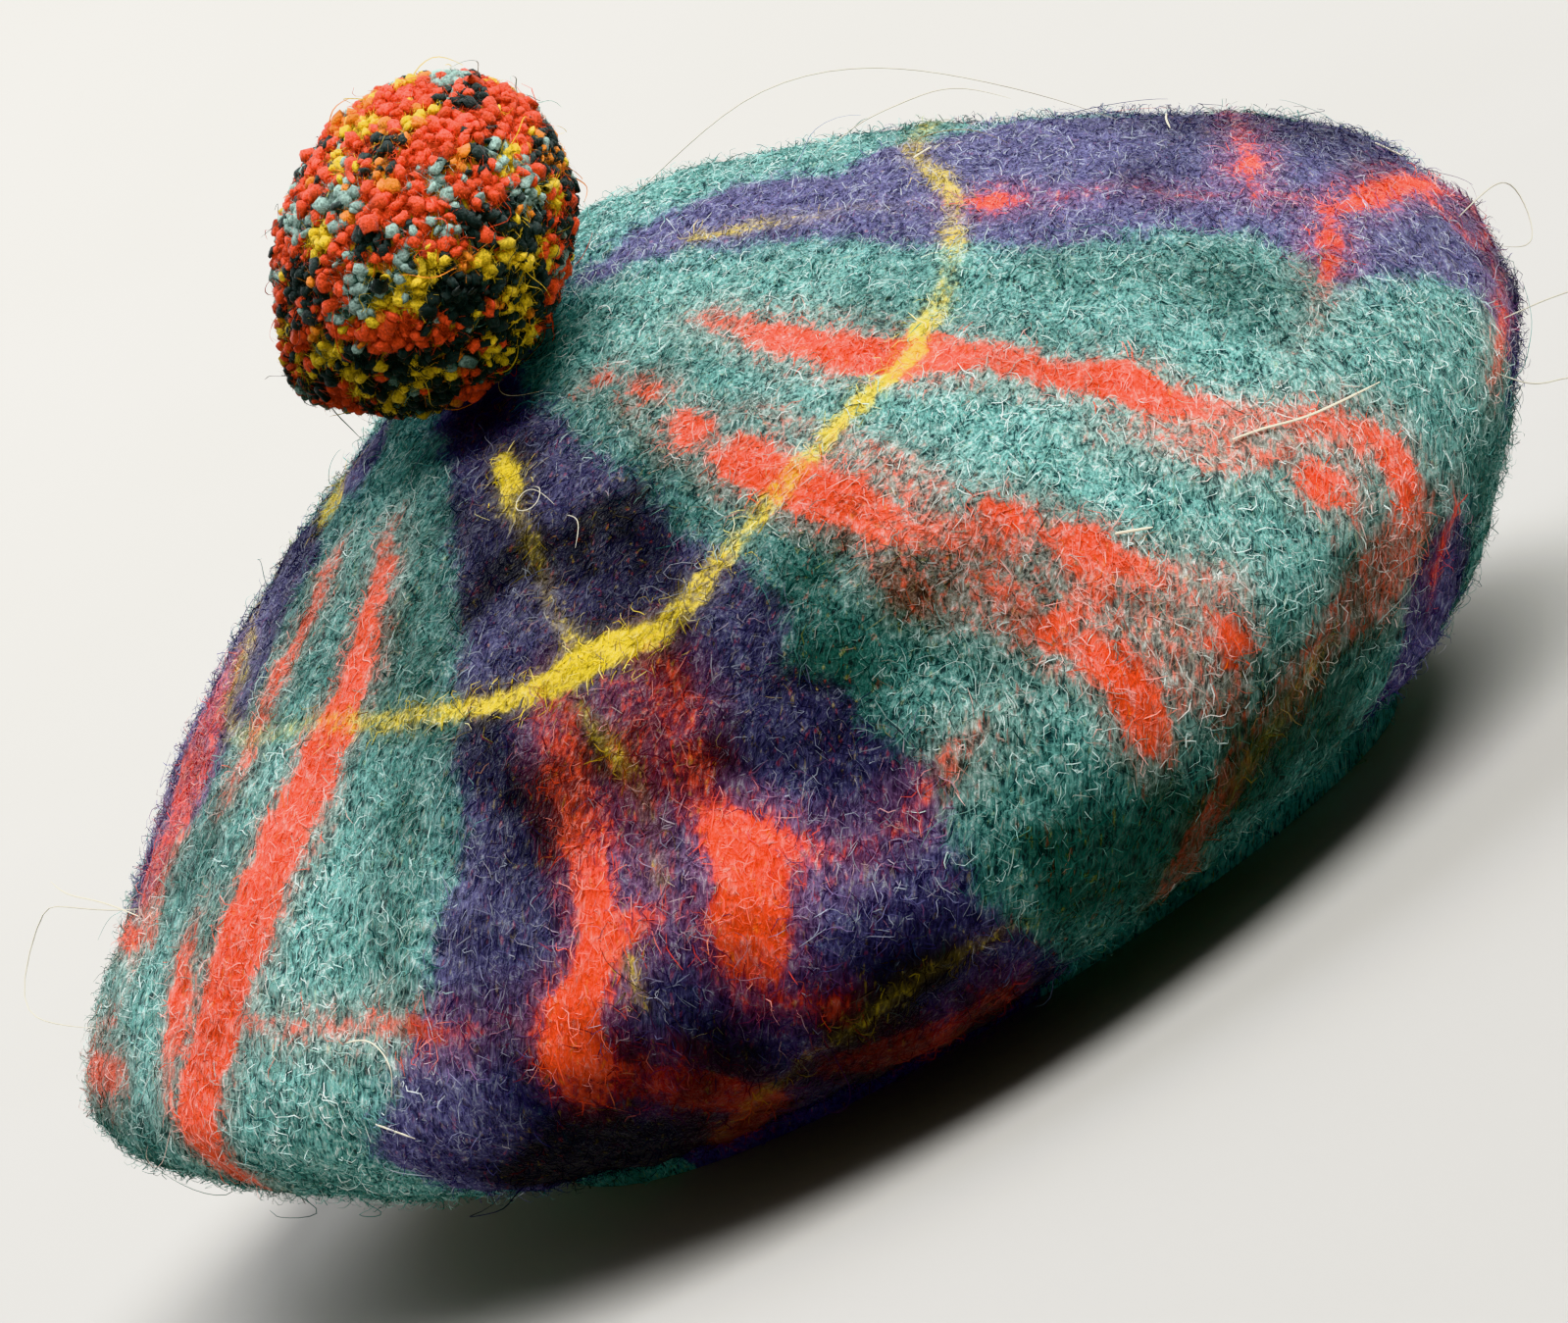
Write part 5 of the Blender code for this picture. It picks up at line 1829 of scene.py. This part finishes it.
        # The side that the picture shows is charted, but for some tufts.
        places, _ = self.on_surface(ways)
        aside, up = places @ PICTURE_RIGHT / MM, places @ PICTURE_UP / MM
        keep = (places[:, 0] < 0.0) & (self.chance.uniform(size=len(ways)) < self.charted)
        for patch in YARN_PATCHES:
            inside = np.hypot((aside - patch.aside) / patch.wide, (up - patch.up) / patch.high) < 0.5
            chosen = np.where(keep & inside, patch.ply.value, chosen)
        return chosen

    def tuft_meshes(self, ends: np.ndarray, normals: np.ndarray) -> tuple[np.ndarray, ...]:
        """Draw the tufts: rings of corners up each one, and a low dome on its cut end.

        Args:
            ends: The middle of each tuft's end, from the pompom's middle.
            normals: The trimmed surface's normals there.

        Returns:
            Corners, tuft by tuft, with the dome's last; quads; triangles.
        """
        count, draw = len(ends), self.chance.uniform
        axis = unit(normals + self.lean * self.chance.normal(size=(count, 3)))
        side = unit(np.cross(axis, unit(self.chance.normal(size=(count, 3)))))
        other = np.cross(axis, side)
        radius = draw(*self.tuft_radius, (count, 1, 1))
        oval = draw(*self.tuft_oval, (count, 1, 1))
        turn = round_angles(self.sides)[None, :, None]
        rough = draw(*self.tuft_rough, (count, self.sides, 1))
        ring = (np.cos(turn) * side[:, None] + oval * np.sin(turn) * other[:, None]) * radius * rough
        rings = [ends[:, None] + axis[:, None] * (up * self.tuft_depth) + ring * wide
                 for up, wide in self.tuft_levels]
        corners = np.concatenate([*rings, ends[:, None] + axis[:, None] * self.tuft_dome], axis=1)
        first = np.arange(count)[:, None] * corners.shape[1]
        starts = first + np.arange(len(rings)) * self.sides
        step = np.arange(self.sides)
        top, dome = starts[:, -1:], first + corners.shape[1] - 1
        fans = np.stack([top + step, top + np.roll(step, -1), np.broadcast_to(dome, (count, self.sides))],
                        axis=-1)
        return corners.reshape(-1, 3), band_quads(starts[:, :-1], self.sides), fans.reshape(-1, 3)

    def build_yarn(self, yarn: bpy.types.Material) -> Pair:
        """Build the tufts and the heart, as one mesh.

        Args:
            yarn: The yarn's material.

        Returns:
            The tufts' directions and their dyes.
        """
        ways = self.spread(self.tufts)
        ends, normals = self.on_surface(ways)
        dyes = self.plies(ways)
        ends = ends + normals * (self.chance.uniform(*self.cut, (self.tufts, 1)) * self.uneven)
        corners, quads, fans = self.tuft_meshes(ends, normals)
        each = len(corners) // self.tufts
        # Painted shade, deeper low on the pompom.
        painted_underside_light = self.painted_underside_light(normals)
        rings = np.array(self.tuft_light).repeat([self.sides] * len(self.tuft_levels) + [1])
        light = np.outer(self.chance.uniform(*self.light, self.tufts) * painted_underside_light, rings).ravel()
        heart, heart_faces, heart_ways = self.heart_mesh()
        nearest = (heart_ways @ ways.T).argmax(axis=1)
        dye = np.concatenate([np.repeat(dyes, each), dyes[nearest]])
        light = np.concatenate([light, self.heart_light * painted_underside_light[nearest]])
        points = np.concatenate([corners, heart]) + self.middle
        marks = {"ply": np.column_stack([dye, light, np.zeros(len(dye))]), "root": points / MM}
        piece = make_piece("pompom_yarn", points, quads, marks, yarn,
                           np.concatenate([fans, heart_faces + len(corners)]))
        hand_in(piece, Slot.POMPOM, "pompom")
        return ways, dyes

    def painted_underside_light(self, normals: np.ndarray) -> np.ndarray:
        """How much light each place keeps: painted shade, deeper low on the pompom, where it faces the
        crown.
        """
        return np.interp(normals @ self.axis, *self.underside_shading)

    def heart_mesh(self) -> tuple[np.ndarray, np.ndarray, np.ndarray]:
        """Shape the wool between the tufts.

        Returns:
            Corners, triangles, and the corners' directions.
        """
        around, rows = self.heart_around, self.heart_rows
        turn = round_angles(around)
        rise = np.linspace(self.heart_open, math.pi - self.heart_open, rows)
        ways = np.stack([np.outer(np.sin(rise), np.cos(turn)), np.outer(np.sin(rise), np.sin(turn)),
                         np.outer(np.cos(rise), np.ones(around))], axis=-1).reshape(-1, 3)
        points, _ = self.on_surface(ways)
        quads = band_quads(np.arange(rows - 1) * around, around)
        return points * self.heart, np.concatenate([quads[:, [0, 3, 1]], quads[:, [1, 3, 2]]]), ways

    def build_fuzz(self, kind: FibreKind, ways: np.ndarray, dyes: np.ndarray,
                   yarn: bpy.types.Material) -> None:
        """Build one kind of loose fibre, each dyed as the tuft nearest to it.

        Args:
            kind: What the fibres are like.
            ways: The tufts' directions.
            dyes: The tufts' dyes.
            yarn: The yarn's material.
        """
        comb = FibreComb(self.seed + len(kind.name))
        chosen = comb.chance.integers(len(ways), size=kind.count)
        near = unit(ways[chosen] + comb.chance.normal(0.0, self.fuzz_spread, (kind.count, 3)))
        roots, normals = self.on_surface(near)
        path, across = comb.paths(kind, roots + self.middle - normals * self.fuzz_sink, normals)
        corners, quads = comb.ribbons(kind, path, across)
        # Painted shade low on the pompom, over each fibre's random tone.
        light = comb.tones(kind) * self.painted_underside_light(normals)
        ply = np.stack([dyes[chosen], light, np.zeros(kind.count)], axis=-1)
        marks = for_corners({"ply": ply}, kind.corners) | {"root": corners / MM}
        hand_in(make_piece(kind.name, corners, quads, marks, yarn), Slot.POMPOM)

    def build(self, yarn: bpy.types.Material) -> None:
        """Build the yarn ends and the fuzz.

        Args:
            yarn: Their material.
        """
        ways, dyes = self.build_yarn(yarn)
        for kind in (self.fuzz, self.wisps):
            self.build_fuzz(kind, ways, dyes, yarn)


@dataclass
class PompomTie:
    """The yarn that sews the pompom on: three plies up through the felt from a flat knot inside."""

    form: CapForm
    plies: int = 3
    ply_radius: float = 0.62 * MM
    twist_radius: float = 0.70 * MM
    pitch: float = 6.5 * MM
    reach: float = 9.0 * MM         # from the felt's outside into the pompom
    knot_radius: float = 2.7 * MM
    knot_start: float = 0.45        # how wide the knot's turns start, as a share of its radius
    knot_swell: float = 1.2         # how soon along the yarn they are widest and narrow again
    knot_wave: float = 0.9 * MM     # how far its turns rise and fall
    knot_middle: float = -4.5 * MM  # below the felt's outside
    knot_turns: float = 1.8
    steps: int = 40
    sides: int = 8

    def build(self, yarn: bpy.types.Material) -> None:
        """Build the plies and their knot as one piece.

        Args:
            yarn: Their material.
        """
        sewn_at, outward = self.form.sewing_point()
        side = unit(np.cross(outward, np.array([0.0, 1.0, 0.0])))
        axes = (sewn_at, outward, side, np.cross(outward, side))
        along = np.linspace(0.0, 1.0, self.steps)
        swell = np.sin(math.pi * np.clip(along * self.knot_swell, 0.0, 1.0))
        paths = []
        for ply in range(self.plies):
            phase = ROUND * ply / self.plies
            height = self.knot_middle + (self.reach - self.knot_middle) * along
            turn = phase + ROUND * height / self.pitch
            paths.append(self.winding(turn, np.full(self.steps, self.twist_radius), height, *axes))
            turn = phase + ROUND * self.knot_turns * along
            radius = self.knot_radius * (self.knot_start + (1.0 - self.knot_start) * swell)
            height = self.knot_middle + self.knot_wave * np.sin(2.0 * turn + phase)
            paths.append(self.winding(turn, radius, height, *axes))
        paths = np.array(paths)
        across = unit(np.cross(unit(np.gradient(paths, axis=1)), outward))
        corners, quads = tubes(paths, np.full(paths.shape[:2], self.ply_radius), across, self.sides)
        piece = make_piece("sewing_yarn", corners, quads, {"root": corners / MM}, yarn)
        hand_in(piece, Slot.SEWING, "pompom_tie")

    @staticmethod
    def winding(turn: np.ndarray, radius: np.ndarray, height: np.ndarray, middle: np.ndarray,
                up: np.ndarray, side: np.ndarray, other: np.ndarray) -> np.ndarray:
        """Points wound round a line: an angle, a radius and a height for each."""
        return (middle + height[:, None] * up + (radius * np.cos(turn))[:, None] * side
                + (radius * np.sin(turn))[:, None] * other)


# ---- the studio -------------------------------------------------------------------------------------

@dataclass(frozen=True)
class SweepPaint:
    """Matt emulsion on a studio sweep: an even pale ground that takes a soft shadow."""

    name: str = "matt_emulsion"
    colour: str = "#AEACA8"
    mottle: str = "#A9A7A2"
    patch: float = 0.35             # m, the roller's faint patches

    def build(self) -> bpy.types.Material:
        """Make the paint.

        Returns:
            The material.
        """
        material, shader, add = new_material(self.name)
        noise = add("TexNoise", {"Vector": add("TexCoord").outputs["Object"], "Scale": 1.0 / self.patch})
        mixed = add("Mix", {0: noise, 1: linear(self.mottle), 2: linear(self.colour)}, data_type="RGBA")
        set_inputs(shader, {"Base Color": mixed, "Roughness": 0.9, "Specular IOR Level": 0.1})
        return material


@dataclass
class Studio:
    """A round pale sweep, soft lights and the camera."""

    floor_inner: float = 0.5
    floor_radius: float = 0.9
    sweep_radius: float = 3.2
    sweep_steps: int = 25
    wall_height: float = 3.8
    around: int = 96
    target: tuple[float, float, float] = (2.0 * MM, 0.06 * MM, 60.5 * MM)
    distance: float = 650.0 * MM
    azimuth: float = -90.0          # the camera stands off the wearer's right side
    elevation: float = 7.0
    roll: float = 29.3              # the camera is turned, so that the cap leans back in the picture
    lens: float = 80.0
    sensor: float = 36.0
    air: str = "#EEF1F6"
    air_strength: float = 0.18

    def build_sweep(self) -> None:
        """Build the floor, round up into a wall that goes all the way round."""
        bend = [(self.floor_radius + self.sweep_radius * math.sin(turn),
                 self.sweep_radius * (1.0 - math.cos(turn)))
                for turn in np.linspace(0.0, math.pi / 2.0, self.sweep_steps)]
        wall = (self.floor_radius + self.sweep_radius, self.wall_height)
        turns, ring = round_angles(self.around), np.arange(self.around)
        rings = [np.stack([r * np.cos(turns), r * np.sin(turns), np.full(self.around, z)], axis=-1)
                 for r, z in ((self.floor_inner, 0.0), *bend, wall)]
        points = np.concatenate([np.zeros((1, 3)), *rings])
        fan = np.stack([np.zeros(self.around, int), 1 + ring, 1 + np.roll(ring, -1)], axis=-1)
        quads = band_quads(1 + np.arange(len(rings) - 1) * self.around, self.around)[:, [0, 3, 2, 1]]
        sweep = make_piece("sweep", points, quads, {}, SweepPaint().build(), fan)

    def add_light(self, name: str, towards: tuple[float, float, float], softness: float,
                  strength: float, colour: str) -> None:
        """Add a far, wide soft light.

        Args:
            name: The light's name.
            towards: The way from the cap to the light.
            softness: How wide it looks from the cap, in degrees.
            strength: In watts a square metre.
            colour: As sRGB hex.
        """
        data = bpy.data.lights.new(name, "SUN")
        data.angle = math.radians(softness)
        data.energy = strength
        data.color = linear(colour)[:3]
        light = bpy.data.objects.new(name, data)
        bpy.context.scene.collection.objects.link(light)
        way = Vector(towards).normalized()
        light.location = way * 2.0
        light.rotation_euler = way.to_track_quat("Z", "Y").to_euler()

    def build_lights(self) -> None:
        """A wide key light from above, a weak one from behind, and pale air all round."""
        self.add_light("key", towards=(-0.52, -0.36, 0.80), softness=52.0, strength=7.2, colour="#FFFFFF")
        self.add_light("back_top", towards=(0.35, 0.35, 0.9), softness=50.0, strength=1.9, colour="#F4F7FF")
        world = bpy.data.worlds.new("pale_air")
        world.use_nodes = True
        set_inputs(world.node_tree.nodes["Background"],
                   {"Color": linear(self.air), "Strength": self.air_strength})
        bpy.context.scene.world = world

    def build_camera(self) -> None:
        """Set up the camera at the picture's own angle to the cap."""
        turn, rise = math.radians(self.azimuth), math.radians(self.elevation)
        back = Vector((math.sin(turn) * math.cos(rise), -math.cos(turn) * math.cos(rise), math.sin(rise)))
        data = bpy.data.cameras.new("camera")
        data.lens = self.lens
        data.sensor_width = self.sensor
        camera = bpy.data.objects.new("camera", data)
        bpy.context.scene.collection.objects.link(camera)
        camera.location = Vector(self.target) + back * self.distance
        facing = (-back).to_track_quat("-Z", "Y").to_matrix()
        camera.rotation_euler = (facing @ Matrix.Rotation(-math.radians(self.roll), 3, "Z")).to_euler()
        bpy.context.scene.camera = camera

    def build(self) -> None:
        """Build the whole studio."""
        self.build_sweep()
        self.build_lights()
        self.build_camera()
        bpy.context.scene.view_settings.view_transform = "Khronos PBR Neutral"


def main() -> None:
    """Build the cap, piece by piece, and the studio round it."""
    logging.basicConfig(level=logging.INFO, format="%(message)s")
    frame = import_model()
    LOG.info("nodes: %s", ", ".join(sorted(frame["nodes"])))
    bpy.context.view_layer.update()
    form = CapForm()
    Crown(form, TartanChart()).build(FulledWool().build(), LooseWool().build(), Kemp().build())
    Pompom().build(CutYarn().build())
    PompomTie(form).build(SewingYarn().build())
    Studio().build()


if __name__ == "__main__":
    main()
